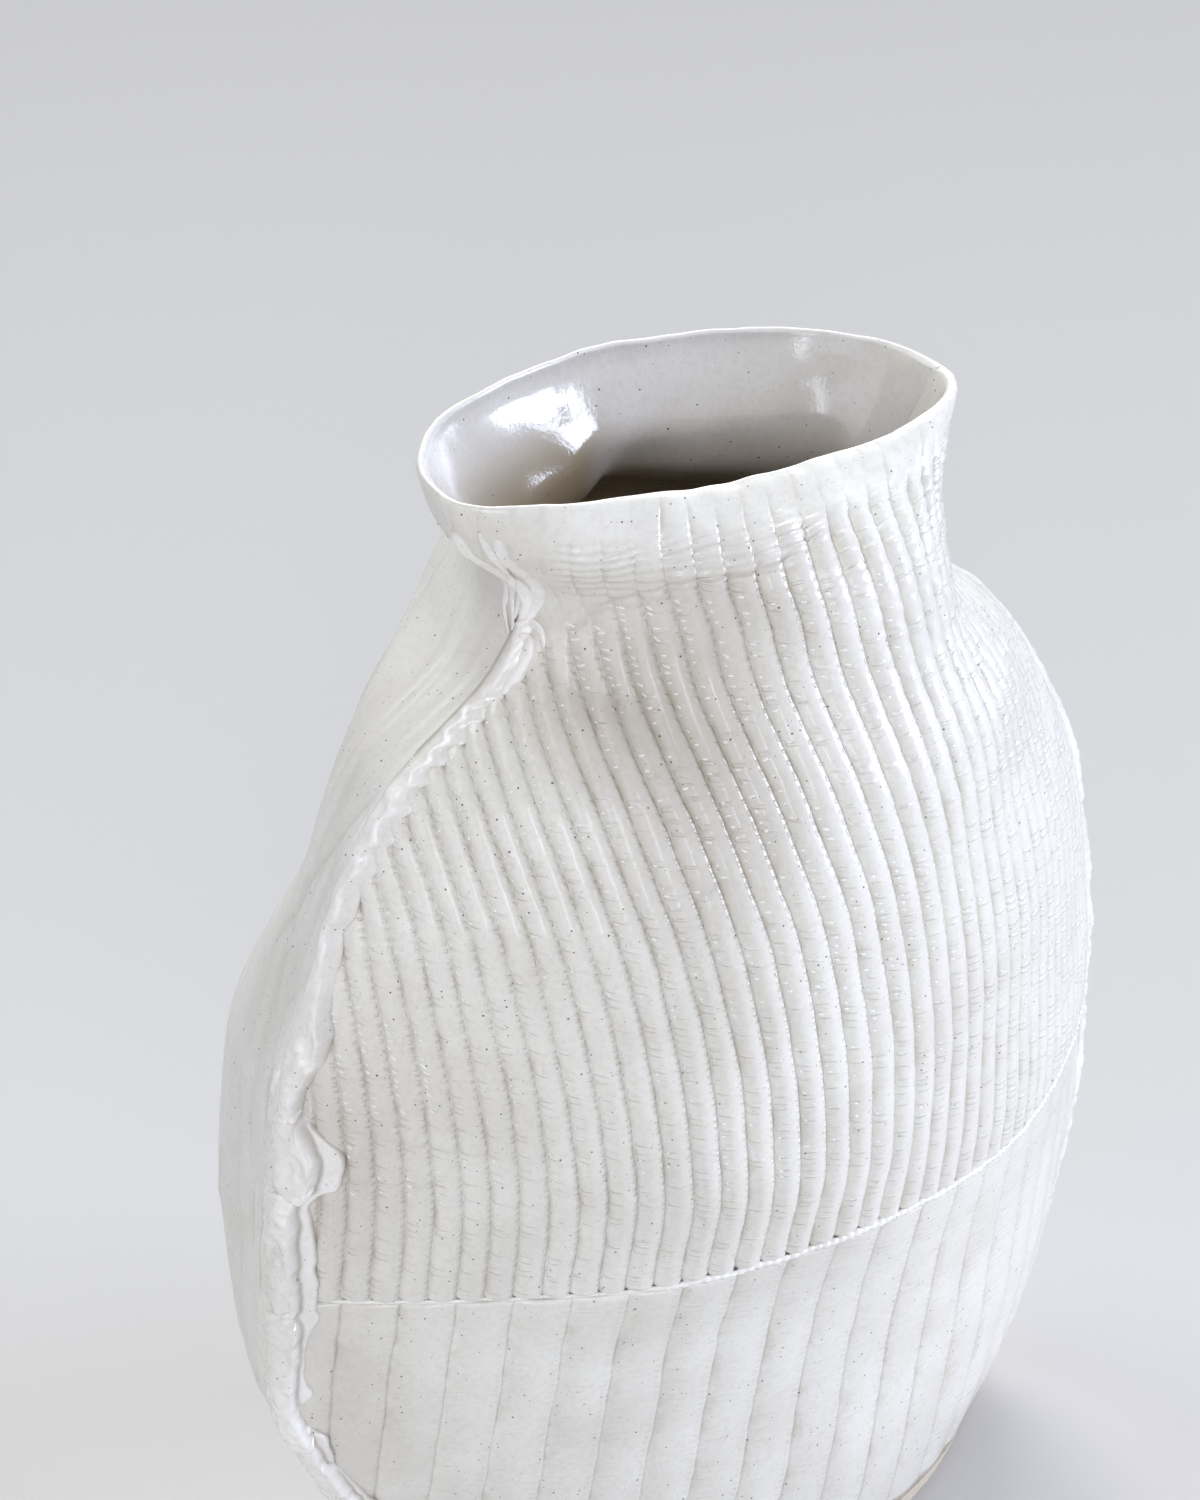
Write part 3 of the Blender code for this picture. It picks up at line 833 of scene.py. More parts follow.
def rib_relief(
    patch: Patch, size: RibSize, depths: Noise, fade: np.ndarray
) -> tuple[np.ndarray, np.ndarray]:
    """The pillows between grooves that knitted cloth leaves.

    Args:
        patch: Where to read the relief.
        size: Sizes of the ribs.
        depths: Varies the grooves' depths.
        fade: 0 where the ribs are smoothed away, 1 where they are whole.

    Returns:
        Offsets in millimetres, none above the crests, and depth in the grooves from 0 to 1.
    """
    number = np.floor(patch.ribs + 1e-6)
    phase = np.clip(patch.ribs - number, 0.0, 1.0)
    from_left = phase * size.pitch
    from_right = (1.0 - phase) * size.pitch
    left_depth, right_depth = (
        size.groove_depth
        * (1.0 + size.depth_varies * depths.at(groove * 2.1, patch.heights / 9.0))
        for groove in (number, number + 1)
    )
    left_cut, right_cut = (
        np.exp(-((away / size.groove_reach) ** 1.5)) for away in (from_left, from_right)
    )
    pillow = -size.crown * np.abs(2.0 * phase - 1.0) ** 2.1
    edge = size.lip * bump(from_right, size.lip_place, size.lip_reach)
    offset = (pillow + edge - left_depth * left_cut - right_depth * right_cut) * fade
    recess = np.clip(np.maximum(left_cut, right_cut) * fade, 0.0, 1.0) ** 1.5
    return offset, recess


BACK_CREASES = (
    Crease(path=((13.3, 201.6), (5.7, 212.5), (0.8, 226.4)), depth=0.4, reach=0.7, bank=0.2),
    Crease(path=((17.0, 190.0), (12.9, 201.1), (5.4, 209.8)), depth=0.3, reach=0.6, bank=0.15),
    Crease(path=((24.0, 176.0), (18.0, 190.0), (14.0, 205.0)), depth=0.25, reach=0.6, bank=0.1),
    Crease(
        path=((8.2, 163.9), (9.8, 156.3), (8.9, 152.1), (6.9, 147.2)),
        depth=0.8,
        reach=0.7,
        bank=0.3,
    ),
    Crease(path=((9.5, 132.0), (8.6, 118.0), (8.9, 104.0)), depth=0.5, reach=0.8, bank=0.2),
)


@dataclass
class BackRelief:
    """Relief of the back slab: drag lines of a smooth cloth and soft folds by the left seam.

    Heights are in millimetres. veins are thin raised lines up the slab where the cloth wrinkled.
    """

    sink: float = 0.3
    fold_height: float = 1.0
    vein_height: float = 0.55
    knit_height: float = 0.2

    def __post_init__(self) -> None:
        """Seeds the drag lines, the soft folds and the veins."""
        self.drag, self.soft, self.veins = map(Noise, (41, 42, 43))

    def read(self, patch: Patch) -> tuple[np.ndarray, np.ndarray, np.ndarray]:
        """Reads the relief.

        Args:
            patch: Where to read it.

        Returns:
            What Relief.read gives. No knit marks show on the back.
        """
        lengths, heights = patch.lengths, patch.heights
        below_collar = ramp(heights, 262.0, 240.0)
        drag = 0.13 * self.drag.at(lengths / 2.4, heights / 42.0)
        drag = drag + 0.2 * self.drag.at(lengths / 6.5 + 50, heights / 60.0)
        swerve = 3.2 * self.soft.at(lengths / 20.0 + 9, heights / 26.0)
        folds = self.drag.at((lengths + swerve) / 4.6, heights / 70.0 + 80)
        folds = self.fold_height * ramp(lengths, 46.0, 6.0) * folds
        veins = bump(self.veins.at((lengths + 2.0 * swerve) / 9.0, heights / 85.0), 0.0, 0.08)
        veins = self.vein_height * ramp(lengths, 60.0, 30.0) * veins
        offset = 0.35 * self.soft.at(lengths / 24.0, heights / 30.0)
        offset = offset + below_collar * (drag + folds + veins)
        # The glaze paints shade by the creases' depths.
        pressed, recess = press_all(BACK_CREASES, lengths, heights, 1.0)
        from_right = patch.widths - lengths
        knit = ramp(from_right, 75.0, 45.0) * bump(heights, 215.0, 38.0)
        knit = knit * np.sin(2 * math.pi * from_right / 3.4) * np.sin(2 * math.pi * heights / 3.0)
        offset = offset + pressed + self.knit_height * knit - self.sink
        return offset, recess, np.zeros(np.shape(heights))


def ring_faces(rows: int, columns: int, duplicates: np.ndarray) -> list[tuple[int, ...]]:
    """Faces of a grid whose rows close into a ring, with a face over each open side.

    Args:
        rows: Number of rows.
        columns: Points in each row.
        duplicates: For each point, the column of its row whose point stands for it.

    Returns:
        Faces as tuples of point numbers.
    """
    number = np.arange(rows)[:, None] * columns + duplicates
    after = np.roll(number, -1, axis=0)
    quads = np.stack([number[:, :-1], number[:, 1:], after[:, 1:], after[:, :-1]], axis=-1)
    quads = quads.reshape(-1, 4)
    flat_low = quads[:, 0] == quads[:, 1]
    flat_high = quads[:, 2] == quads[:, 3]
    whole = quads[~flat_low & ~flat_high]
    low = quads[flat_low & ~flat_high][:, [0, 2, 3]]
    high = quads[~flat_low & flat_high][:, [0, 1, 2]]
    faces = [tuple(face) for face in whole.tolist()]
    faces += [tuple(face) for face in low.tolist()]
    faces += [tuple(face) for face in high.tolist()]
    faces.append(tuple(number[:, 0].tolist()))
    faces.append(tuple(number[::-1, -1].tolist()))
    return faces


def add_piece(
    name: str,
    points: np.ndarray,
    faces: list[tuple[int, ...]],
    outward: bool,
    chart: np.ndarray | None = None,
    **marks: np.ndarray,
) -> bpy.types.Object:
    """Makes the object of a piece from its points and faces.

    Args:
        name: The piece's name.
        points: Points in millimetres.
        faces: Faces as point numbers.
        outward: Whether the faces already face out. Otherwise they are turned round.
        chart: Rib coordinate and height of each point, kept as the UV map rib_chart.
        marks: Numbers of each point, kept as attributes: recess is its depth in a groove,
        which the glaze darkens as painted shade, knit how strongly stitches show there, shade
        how strongly it is painted towards the deep colour, as painted shade and on the front
        partly as a warmer glaze, and inside whether it lies inside the jar.

    Returns:
        The object, its place in its mesh.
    """
    points = np.asarray(points, float).reshape(-1, 3)
    if not outward:
        faces = [face[::-1] for face in faces]
    used = np.zeros(len(points), bool)
    for face in faces:
        used[list(face)] = True
    renumbered = np.cumsum(used) - 1
    numbers = renumbered.tolist()
    mesh = bpy.data.meshes.new(name)
    mesh.from_pydata(
        (points[used] * MM).tolist(), [], [tuple(numbers[i] for i in face) for face in faces]
    )
    mesh.update()
    corner_points = np.zeros(len(mesh.loops), np.int64)
    mesh.loops.foreach_get("vertex_index", corner_points)
    if chart is not None:
        layer = mesh.uv_layers.new(name="rib_chart")
        places = np.asarray(chart, float).reshape(-1, 2)[used][corner_points]
        layer.data.foreach_set("uv", places.ravel())
    for label, values in marks.items():
        kept = mesh.attributes.new(label, "FLOAT", "POINT")
        kept.data.foreach_set("value", np.asarray(values, float).ravel()[used])
    mesh.shade_smooth()
    thing = bpy.data.objects.new(name, mesh)
    bpy.context.scene.collection.objects.link(thing)
    log.info("%s: %d points, %d faces", name, len(mesh.vertices), len(mesh.polygons))
    return thing


Station = tuple[float, float | None]
QUARTER_TURN = math.pi / 2
EDGE_STEPS = 4
LIP_STEPS = 10


def rounded_edge(
    height: float, radius: float, turn: float, steps: int, facing: int = 1
) -> list[Station]:
    """Rows over a rounded edge, from the outside inwards.

    Args:
        height: Height of the edge's end.
        radius: Radius of the rounding.
        turn: How far round it goes: a quarter turn for an edge, and a half turn over the lip.
        steps: Rows in the rounding.
        facing: 1 at the top of a wall, and -1 at its bottom.

    Returns:
        Pairs of height and depth in the wall.
    """
    found = []
    for angle in turn * np.arange(1, steps + 1) / steps:
        drop = radius * (1.0 - math.sin(angle))
        found.append((height - facing * drop, radius * (1.0 - math.cos(angle))))
    return found


@dataclass(frozen=True)
class RowPlan:
    """Rows of a wall's outside: heights at which the spacing changes, and the spacings."""

    stops: tuple[float, ...]
    steps: tuple[float, ...]

    def heights(self) -> list[float]:
        """Spaces the rows.

        Returns:
            Their heights, from the lowest to the highest.
        """
        found: list[float] = []
        for low, high, step in zip(self.stops, self.stops[1:], self.steps):
            count = max(1, round((high - low) / step))
            found += [low + (high - low) * number / count for number in range(count)]
        return [*found, self.stops[-1]]


UPPER_ROWS = RowPlan(
    stops=(111.4, 115.0, 139.0, 157.0, 205.0, 236.0, 250.0, 279.0, 284.4),
    steps=(0.6, 1.3, 0.7, 1.5, 1.1, 0.9, 0.5, 0.9),
)
LOWER_ROWS = RowPlan(stops=(6.3, 86.0, 98.0, 108.6), steps=(1.9, 0.9, 0.9))
BACK_ROWS = RowPlan(stops=(6.3, 240.0, 284.4), steps=(1.7, 1.0))
INSIDE_STEP = 7.0
NECK_STEP = 2.2
NECK_REACH = 20.0
EDGE_RADIUS = 1.0
# The upper slab laps over the lower one inside the belly seam. The lap's depths are in the wall.
LAP_TOP = 116.0
LAP_GAP = 0.4
SEAM_GAP = 0.35
UPPER_LAP_DEPTH = 2.4
LOWER_LAP_DEPTH = 2.7


def inside_rows(high: float, low: float) -> list[Station]:
    """Rows down a wall's inside, closer together in the neck.

    Args:
        high: Height of the highest.
        low: Height of the lowest.

    Returns:
        Pairs of height and None, for the wall's whole thickness.
    """
    neck = min(high, max(low, THROAT_HEIGHT - NECK_REACH))
    near = math.ceil((high - neck) / NECK_STEP)
    far = max(2, round((neck - low) / INSIDE_STEP))
    found = [high + (neck - high) * number / near for number in range(near)]
    found += [neck + (low - neck) * number / far for number in range(far + 1)]
    return [(height, None) for height in found]


@dataclass(frozen=True)
class ShadedThinGlaze:
    """A part of the front, by its middle and reaches, painted darker and warmer.

    This is partly painted shade and partly a thinner, browner glaze.
    """

    across: float
    height: float
    wide: float
    tall: float
    share: float

    def at(self, across: np.ndarray, heights: np.ndarray) -> np.ndarray:
        """How strongly the part is painted at a place, from 0 to share."""
        wide = bump(across, self.across, self.wide)
        return self.share * wide * bump(heights, self.height, self.tall)


# Front patches painted darker and warmer: partly painted shade, partly a thinner glaze.
SHADED_THIN_PLACES = (
    ShadedThinGlaze(-27.0, 262.0, 24.0, 14.0, 0.24),
    ShadedThinGlaze(-33.0, 236.0, 17.0, 27.0, 0.36),
    ShadedThinGlaze(-57.0, 274.0, 12.0, 12.0, 0.12),
    ShadedThinGlaze(-100.0, 140.0, 14.0, 28.0, 0.27),
    ShadedThinGlaze(-99.0, 85.0, 12.0, 30.0, 0.24),
)


@dataclass
class Wall:
    """One slab of the jar, with its relief outside and a smooth, slightly uneven inside.

    The relief fades between the two depths of skin, and the inside is whole past those of core.
    """

    name: str
    form: JarForm
    side: Side
    relief: Relief
    skin: tuple[float, float] = (2.4, 0.6)
    core: tuple[float, float] = (2.2, 3.0)
    inner_lumps: float = 0.3

    def __post_init__(self) -> None:
        """Seeds the inside's unevenness."""
        self.inner_noise = Noise(61)

    def insets(self, patch: Patch, stations: list[Station]) -> np.ndarray:
        """How deep in the wall each point of the slab lies.

        Args:
            patch: The slab's points.
            stations: As for build.

        Returns:
            Depths in millimetres.
        """
        whole = self.form.thickness(patch.heights)
        if self.side is Side.BACK:
            throat = ramp(patch.heights, 285.0, THROAT_HEIGHT) * ramp(patch.heights, 238.0, 258.0)
            whole = whole + THROAT * throat * ramp(np.sin(patch.turns), 0.1, 0.95)
        depths = np.array([np.nan if deep is None else deep for _, deep in stations])
        return np.where(np.isnan(depths)[:, None], whole, depths[:, None])

    def shade(self, across: np.ndarray, heights: np.ndarray, insets: np.ndarray) -> np.ndarray:
        """How strongly the glaze is painted towards the deep colour.

        The inside is painted warmer and darker with depth, as painted shade, soonest under the
        lip's left end. Patches of the front are painted darker and warmer, partly as painted shade
        and partly as a warmer glaze.

        Args:
            across: X of the points.
            heights: Their heights up the wall.
            insets: Their depths in the wall.

        Returns:
            Shares from 0 to 1.
        """
        # Painted shade inside: darker and warmer with depth, soonest under the lip's left end.
        left_end = ramp(across, 4.0, -14.0) * ramp(heights, 281.0, 267.0)
        deep = np.maximum(ramp(heights, 270.0, 244.0), left_end)
        found = ramp(insets, *self.core) * (0.14 + 0.86 * deep)
        if self.side is Side.FRONT:
            for place in SHADED_THIN_PLACES:
                found = np.maximum(found, ramp(insets, *self.skin) * place.at(across, heights))
        return found

    def build(
        self, stations: list[Station], lay_out: Callable[[np.ndarray], Patch]
    ) -> bpy.types.Object:
        """Builds the slab round its stations.

        Args:
            stations: Pairs of height and depth in the wall, in order round the slab. A depth
                of None is the wall's whole thickness.
            lay_out: Makes the patch for the stations' heights.

        Returns:
            The piece.
        """
        patch = lay_out(np.array([height for height, _ in stations], float))
        heights = patch.heights
        insets = self.insets(patch, stations)
        offset, recess, knit = self.relief.read(patch)
        outside = ramp(insets, *self.skin)
        inner = self.inner_noise.at(patch.lengths / 15.0 + 20, heights / 17.0)
        inner = self.inner_lumps * inner * ramp(insets, 2.2, 3.4) * ramp(heights, 283.0, 262.0)
        points = self.form.point(self.side, patch.turns, heights, insets)
        points = points + patch.normals * (offset * outside - inner)[..., None]
        points = points + self.form.rim_sway(points)
        return add_piece(
            self.name,
            points,
            ring_faces(*heights.shape, patch.duplicates),
            self.side is Side.FRONT,
            np.stack([patch.ribs, heights], axis=-1),
            recess=recess * outside,
            knit=knit * outside,
            shade=self.shade(points[..., 0], heights, insets),
            inside=ramp(insets, *self.core),
        )


def tube_points(
    centres: np.ndarray,
    aside: np.ndarray,
    upward: np.ndarray,
    wide: np.ndarray,
    high: np.ndarray,
    sides: int,
) -> np.ndarray:
    """Rings of points round the middle line of a tube.

    Args:
        centres: Points of the middle line.
        aside: Directions across the tube.
        upward: Directions square to those.
        wide: Half widths along aside.
        high: Half widths along upward.
        sides: Points in each ring.

    Returns:
        The points, ring by ring.
    """
    rings = [
        centres
        + aside * (wide * math.cos(angle))[..., None]
        + upward * (high * math.sin(angle))[..., None]
        for angle in np.linspace(0.0, 2 * math.pi, sides, endpoint=False)
    ]
    return np.stack(rings, axis=-2)


def tube_faces(tubes: int, rows: int, sides: int) -> list[tuple[int, ...]]:
    """Faces of closed tubes whose points are numbered tube by tube and row by row.

    Args:
        tubes: Number of tubes.
        rows: Rows of points along each.
        sides: Points in each row.

    Returns:
        Faces as tuples of point numbers.
    """
    index = np.arange(tubes * rows * sides).reshape(tubes, rows, sides)
    after = np.roll(index, -1, axis=2)
    quads = np.stack([index[:, :-1], after[:, :-1], after[:, 1:], index[:, 1:]], axis=-1)
    faces = [tuple(face) for face in quads.reshape(-1, 4).tolist()]
    faces += [tuple(face) for face in index[:, 0, ::-1].tolist()]
    faces += [tuple(face) for face in index[:, -1].tolist()]
    return faces


@dataclass(frozen=True)
class RollStation:
    """Where a pinched roll reaches at one height, in millimetres from its seam.

    crest is how far behind its front foot the roll stands highest. flap is how far a thin flap
    of the same clay reaches along the front under the roll, or 0 for none.
    """

    height: float
    front: float
    back: float
    proud: float
    crest: float
    flap: float = 0.0


def roll_stations(*rows: tuple[float, ...]) -> tuple[RollStation, ...]:
    """Makes a roll's stations from rows of their measures."""
    return tuple(RollStation(*row) for row in rows)


LEFT_LOWER_ROLL = roll_stations(
    (6.6, 4.5, 3.0, 2.6, 1.6, 7.0),
    (30, 5.0, 3.2, 3.4, 1.6, 7.8),
    (46, 5.3, 3.4, 3.8, 1.6, 7.6),
    (54, 5.4, 3.2, 3.6, 1.6, 7.0),
    (62, 4.8, 3.4, 3.4, 1.6, 5.9),
    (68, 4.6, 3.6, 3.3, 1.6, 6.8),
    (71, 4.4, 3.6, 3.4, 1.6, 7.6),
    (75, 4.0, 3.8, 3.1, 1.6, 4.4),
    (78, 3.4, 3.6, 2.7, 1.6, 3.6),
    (81, 3.3, 3.4, 2.6, 1.6, 4.2),
    (84.5, 3.6, 3.4, 2.7, 1.6, 7.2),
    (87, 3.8, 3.4, 2.8, 1.6, 5.6),
    (95, 4.2, 3.6, 3.2, 1.6, 5.4),
    (100, 4.4, 3.8, 3.6, 1.6, 6.2),
    (103.5, 4.0, 3.8, 3.0, 1.6, 7.6),
    (105.6, 3.2, 3.4, 1.6, 1.6, 8.0),
    (107.4, 4.2, 3.8, 3.4, 1.6, 7.6),
    (111, 3.8, 3.8, 3.9, 1.6, 7.9),
    (116, 3.5, 3.8, 4.0, 1.6, 7.5),
    (122, 3.5, 3.8, 4.2, 1.6, 7.2),
    (131, 3.4, 3.6, 4.1, 1.6, 6.4),
    (134.5, 3.6, 3.4, 3.5, 1.6, 5.6),
    (136.6, 3.8, 3.0, 1.7, 1.6, 6.6),
    (138.4, 6.0, 4.2, 4.0, 1.6, 8.6),
    (140.5, 7.0, 4.0, 5.0, 1.6, 12.2),
    (144, 7.8, 3.6, 5.4, 1.6, 12.5),
    (147.5, 7.8, 3.2, 5.2, 1.6, 12.6),
    (150, 6.9, 3.4, 4.7, 1.6, 11.3),
    (152, 5.8, 3.6, 4.2, 1.6, 8.7),
    (154.2, 4.3, 3.6, 3.4, 1.6, 5.4),
    (156.6, 3.0, 3.0, 1.9, 1.6, 3.4),
)
LEFT_UPPER_ROLL = roll_stations(
    (155.2, 2.4, 2.4, 0.9, 1.6),
    (157.5, 2.8, 3.4, 3.4, 1.6),
    (161, 3.1, 3.8, 4.2, 1.7),
    (165, 4.1, 3.8, 4.2, 1.8),
    (171, 6.3, 2.8, 4.1, 2),
    (176, 6.6, 2.0, 3.9, 2.1),
    (182, 5.8, 1.8, 3.5, 2.3),
    (188, 5.4, 1.7, 3.0, 2.8),
    (197, 5.2, 1.6, 2.5, 3.4),
    (206, 5.8, 1.7, 2.2, 3.8),
    (214, 6.6, 2.0, 2.1, 4.3),
    (221, 7.2, 1.4, 2.0, 4.1),
    (228, 7.4, 0.9, 1.9, 3.8),
    (234, 7.0, 1.2, 1.8, 3.8),
    (240, 5.6, 1.9, 1.8, 3.8),
    (245, 5.6, 2.2, 1.8, 3.9),
    (250, 4.6, 2.2, 1.5, 3.4),
    (254, 3.4, 2.2, 1.2, 2.8),
    (260, 2.8, 2.0, 0.9, 2.4),
    (268, 3.0, 1.8, 0.8, 2.4),
    (279, 3.0, 1.4, 0.6, 2.2),
)
RIGHT_LOWER_ROLL = roll_stations(
    (6.6, 3.0, 2.4, 0.7, 2.7),
    (60, 3.2, 2.6, 0.9, 2.9),
    (110, 3.4, 2.8, 1.0, 3.1),
    (157, 3.2, 2.6, 0.9, 2.9),
    (159.6, 2.8, 2.4, 0.6, 2.6),
)
RIGHT_UPPER_ROLL = roll_stations(
    (158.4, 2.8, 2.4, 0.6, 2.6),
    (161, 3.2, 2.6, 0.9, 2.9),
    (200, 3.4, 2.8, 0.8, 3.1),
    (228, 3.2, 2.6, 0.7, 2.9),
    (246, 2.8, 2.4, 0.5, 2.6),
    (262, 2.6, 2.2, 0.3, 2.4),
)


@dataclass
class SeamRoll:
    """A roll of clay pinched over an upright seam. Its sizes are in millimetres.

    stations are its reaches, from its foot up, and seed picks its lumps. Its front edge is drawn
    out along lines, where it has them. Each row has so many points over the roll and, every few
    of them, one buried in the wall. foot is how far its edges dip into the clay, flap the
    thickness of a flap, blend how far the roll's flank runs out over the back slab, and ease
    how widely the corner under it is rounded.
    """

    name: str
    form: JarForm
    seam: Seam
    stations: tuple[RollStation, ...]
    seed: int
    lines: RibLines | None = None
    row_step: float = 0.5
    row_points: int = 60
    buried_step: int = 5
    foot: float = 0.5
    buried: float = 1.8
    flap: float = 1.25
    flap_edge: float = 0.9
    blend: float = 10.0
    ease_step: float = 0.4
    ease: float = 1.3

    def __post_init__(self) -> None:
        """Reads the stations' heights and seeds the lumps."""
        self.knots = np.array([station.height for station in self.stations], float)
        self.noise = Noise(self.seed)

    def read(self, measure: str, heights: np.ndarray) -> np.ndarray:
        """A station's measure at any heights."""
        values = np.array([getattr(station, measure) for station in self.stations], float)
        return smooth_curve(heights, self.knots, values)

    def ground(self, height: float, places: np.ndarray) -> tuple[np.ndarray, np.ndarray]:
        """The clay that the roll lies on, its corner at the seam eased.

        Args:
            height: Height up the wall.
            places: Lengths from the seam, negative on the front wall.

        Returns:
            Points there, and directions out of the clay.
        """
        step = self.ease_step
        line = np.arange(places[0] - 4.0, places[-1] + 4.0 + step, step)
        found = np.zeros((len(line), 3))
        for side, chosen in ((Side.FRONT, line < 0), (Side.BACK, line >= 0)):
            lengths, _ = self.form.arc(side, height)
            walked = np.abs(line[chosen])
            if self.seam is Seam.RIGHT:
                walked = lengths[-1] - walked
            turns = np.interp(walked, lengths, self.form.TURNS)
            found[chosen] = self.form.point(side, turns, height)
        weights = bump(np.arange(-6, 7) * step, 0.0, self.ease)
        weights /= weights.sum()
        eased = np.stack(
            [np.convolve(np.pad(found[:, i], 6, "edge"), weights, "valid") for i in range(3)], 1
        )
        tangent = np.gradient(eased, axis=0)
        away = np.stack([tangent[:, 1], -tangent[:, 0], np.zeros(len(line))], axis=1)
        away = unit(away * np.sign((away[:, 0] * self.seam.value).sum()))
        points = np.stack([np.interp(places, line, eased[:, i]) for i in range(3)], 1)
        aways = np.stack([np.interp(places, line, away[:, i]) for i in range(3)], 1)
        return points, unit(aways)

    def finger(self, height: float) -> float:
        """How far the front edge is drawn out where a groove starts under it.

        Args:
            height: Height up the wall.

        Returns:
            Millimetres, or 0 where the roll has no lines.
        """
        ends = float(ramp(height, 178.0, 192.0) * ramp(height, 246.0, 240.0))
        if self.lines is None or ends == 0.0:
            return 0.0
        lengths, across = self.form.arc(Side.FRONT, height)
        grooves = self.lines.places(height, lengths, across)
        phase = float(np.interp(6.0, grooves, self.lines.grooves)) % 1.0
        size = 0.6 + 1.1 * float(self.noise.at(height / 9.0, 55.0))
        return size * ends * (1.1 * (0.5 + 0.5 * math.cos(2 * math.pi * phase)) ** 1.4 - 0.6)

    def swell(self, height: float) -> float:
        """1 along the roll, falling to 0 at its ends."""
        low, high = self.knots[0], self.knots[-1]
        return math.sqrt(float(ramp(height, low, low + 1.8) * ramp(height, high, high - 2.2)))

    def lumps(self, places: np.ndarray, height: float) -> np.ndarray:
        """The lumps that fingers left on the roll.

        Args:
            places: Lengths from the seam.
            height: Height up the wall.

        Returns:
            Shares of the roll's own height, over and under 0.
        """
        lumps = 0.34 * self.noise.at(places / 3.1 + 40, height / 4.6)
        lumps = lumps + 0.20 * self.noise.at(places / 1.5 + 80, height / 2.3)
        return lumps + 0.13 * self.noise.at(places / 0.8 + 20, height / 1.1)

    def profile(self, height: float, swell: float) -> tuple[np.ndarray, np.ndarray, np.ndarray]:
        """The roll's outline at one height.

        It rises steeply from its front foot to its crest. Low down it then runs out in a long
        flank over the back slab, and higher up it is a gentle, narrow ridge.

        Args:
            height: Height up the wall.
            swell: 1 along the roll, and 0 at its ends.

        Returns:
            Lengths from the seam, heights over the clay, and how much painted shade each point
            takes, in the angles at its feet, in creases and on its tail, from 0 to 1.
        """
        front, back, proud, crest, flap = (
            float(self.read(measure, height))
            for measure in ("front", "back", "proud", "crest", "flap")
        )
        gentle = float(ramp(height, 164.0, 194.0))
        blend = self.blend * (1.0 - gentle)
        back += blend
        front += 0.35 * float(self.noise.at(height / 4.3, 3.0))
        front += 0.22 * float(self.noise.at(height / 1.7, 9.0)) + self.finger(height)
        flap += 0.4 * float(self.noise.at(height / 3.1, 23.0))
        has_flap = float(ramp(flap, front + 0.4, front + 1.4))
        reach = max(front, flap) if flap > 1.5 else front
        # Points lie closer together at the front foot, where the roll is steep.
        shares = np.linspace(0.0, 1.0, self.row_points)
        shares = 0.35 * (0.5 - 0.5 * np.cos(math.pi * shares)) + 0.65 * shares
        places = shares * (reach + back) - reach
        share = np.clip((places + front) / (front + back), 0.0, 1.0)
        top = crest / (front + back)
        rising = np.clip(share / top, 0.0, 1.0)
        falling = np.clip((1.0 - share) / (1.0 - top), 0.0, 1.0)
        side = np.minimum(rising, falling)
        flank = 1.0 - (1.0 - rising) ** 2
        flank += gentle * (ramp(rising, 0.0, 1.0) - flank)
        drop = ramp(falling, 0.0, 1.0)
        tube = flank * (drop + (1.0 - gentle) * (falling**1.7 - drop))
        lumps = self.lumps(places, height) * (1.0 - 0.5 * gentle)
        lift = (proud + self.foot) * swell * tube * (1.0 + 0.5 * lumps)
        pleat = (0.24 - 0.12 * gentle) * self.noise.at(places / 1.1 + 160, height / 9.0)
        lift = lift + (0.3 * lumps + pleat) * ramp(side, 0.0, 0.7) * swell
        edge = np.clip((places + reach) / self.flap_edge, 0.0, 1.0)
        sheet = self.flap * has_flap * swell * np.sqrt(1.0 - (1.0 - edge) ** 2)
        lift = np.maximum(lift, sheet * (1.0 + 0.3 * lumps) * (places < 0))
        tail = ramp(places, back - blend - 2.0, back - blend + 2.0)
        tail = 0.42 * tail * ramp(places, back, back - 4.0) * (1.0 - gentle)
        sway = 1.6 * self.noise.at(height / 14.0, 7.0)
        lift = lift + tail * self.noise.at((places + sway) / 1.7, height / 26.0)
        # Painted shade: the angles at the feet and under the flap's edge, the creases and the tail
        # over the back slab are darkened through the shade attribute.
        painted_tail_shade = 0.36 * ramp(places, crest - front, back - 3.0)
        angle = np.maximum.reduce(
            [
                0.9 * bump(places, -front - 0.1, 0.5) * has_flap,
                0.7 * bump(places, -reach, 0.4),
                0.5 * (1.0 - swell) * ramp(side, 0.0, 0.3),
                gentle * bump(places, back - 0.5, 0.9),
                (1.0 - gentle) * painted_tail_shade,
            ]
        )
        if self.seam is Seam.LEFT:
            pressed, creased = press_all(BACK_CREASES, places, height, 1.0)
            lift = lift + swell * pressed
            angle = np.maximum(angle, swell * creased)
        return places, lift - self.foot, angle

    def build(self) -> bpy.types.Object:
        """Builds the roll.

        Returns:
            The piece.
        """
        low, high = self.knots[0], self.knots[-1]
        rows = np.linspace(low, high, max(8, round((high - low) / self.row_step)))
        under = slice(None, None, -self.buried_step)
        loops, charts, shades = [], [], []
        for height in rows:
            places, lift, angle = self.profile(height, self.swell(height))
            points, aways = self.ground(height, places)
            buried = points[under] - aways[under] * self.buried
            loops.append(np.concatenate([points + aways * lift[:, None], buried]))
            along = np.concatenate([places, places[under]])
            charts.append(np.stack([along, np.full(len(along), height)], axis=1))
            # The angles are painted as shade, darkest on the buried points.
            shades.append(0.6 * np.concatenate([angle, np.ones(len(buried))]))
        points = np.array(loops)
        points = points + self.form.rim_sway(points)
        faces = tube_faces(1, *points.shape[:2])
        outward = self.seam is Seam.RIGHT
        return add_piece(
            self.name, points, faces, outward, np.array(charts), shade=np.array(shades)
        )


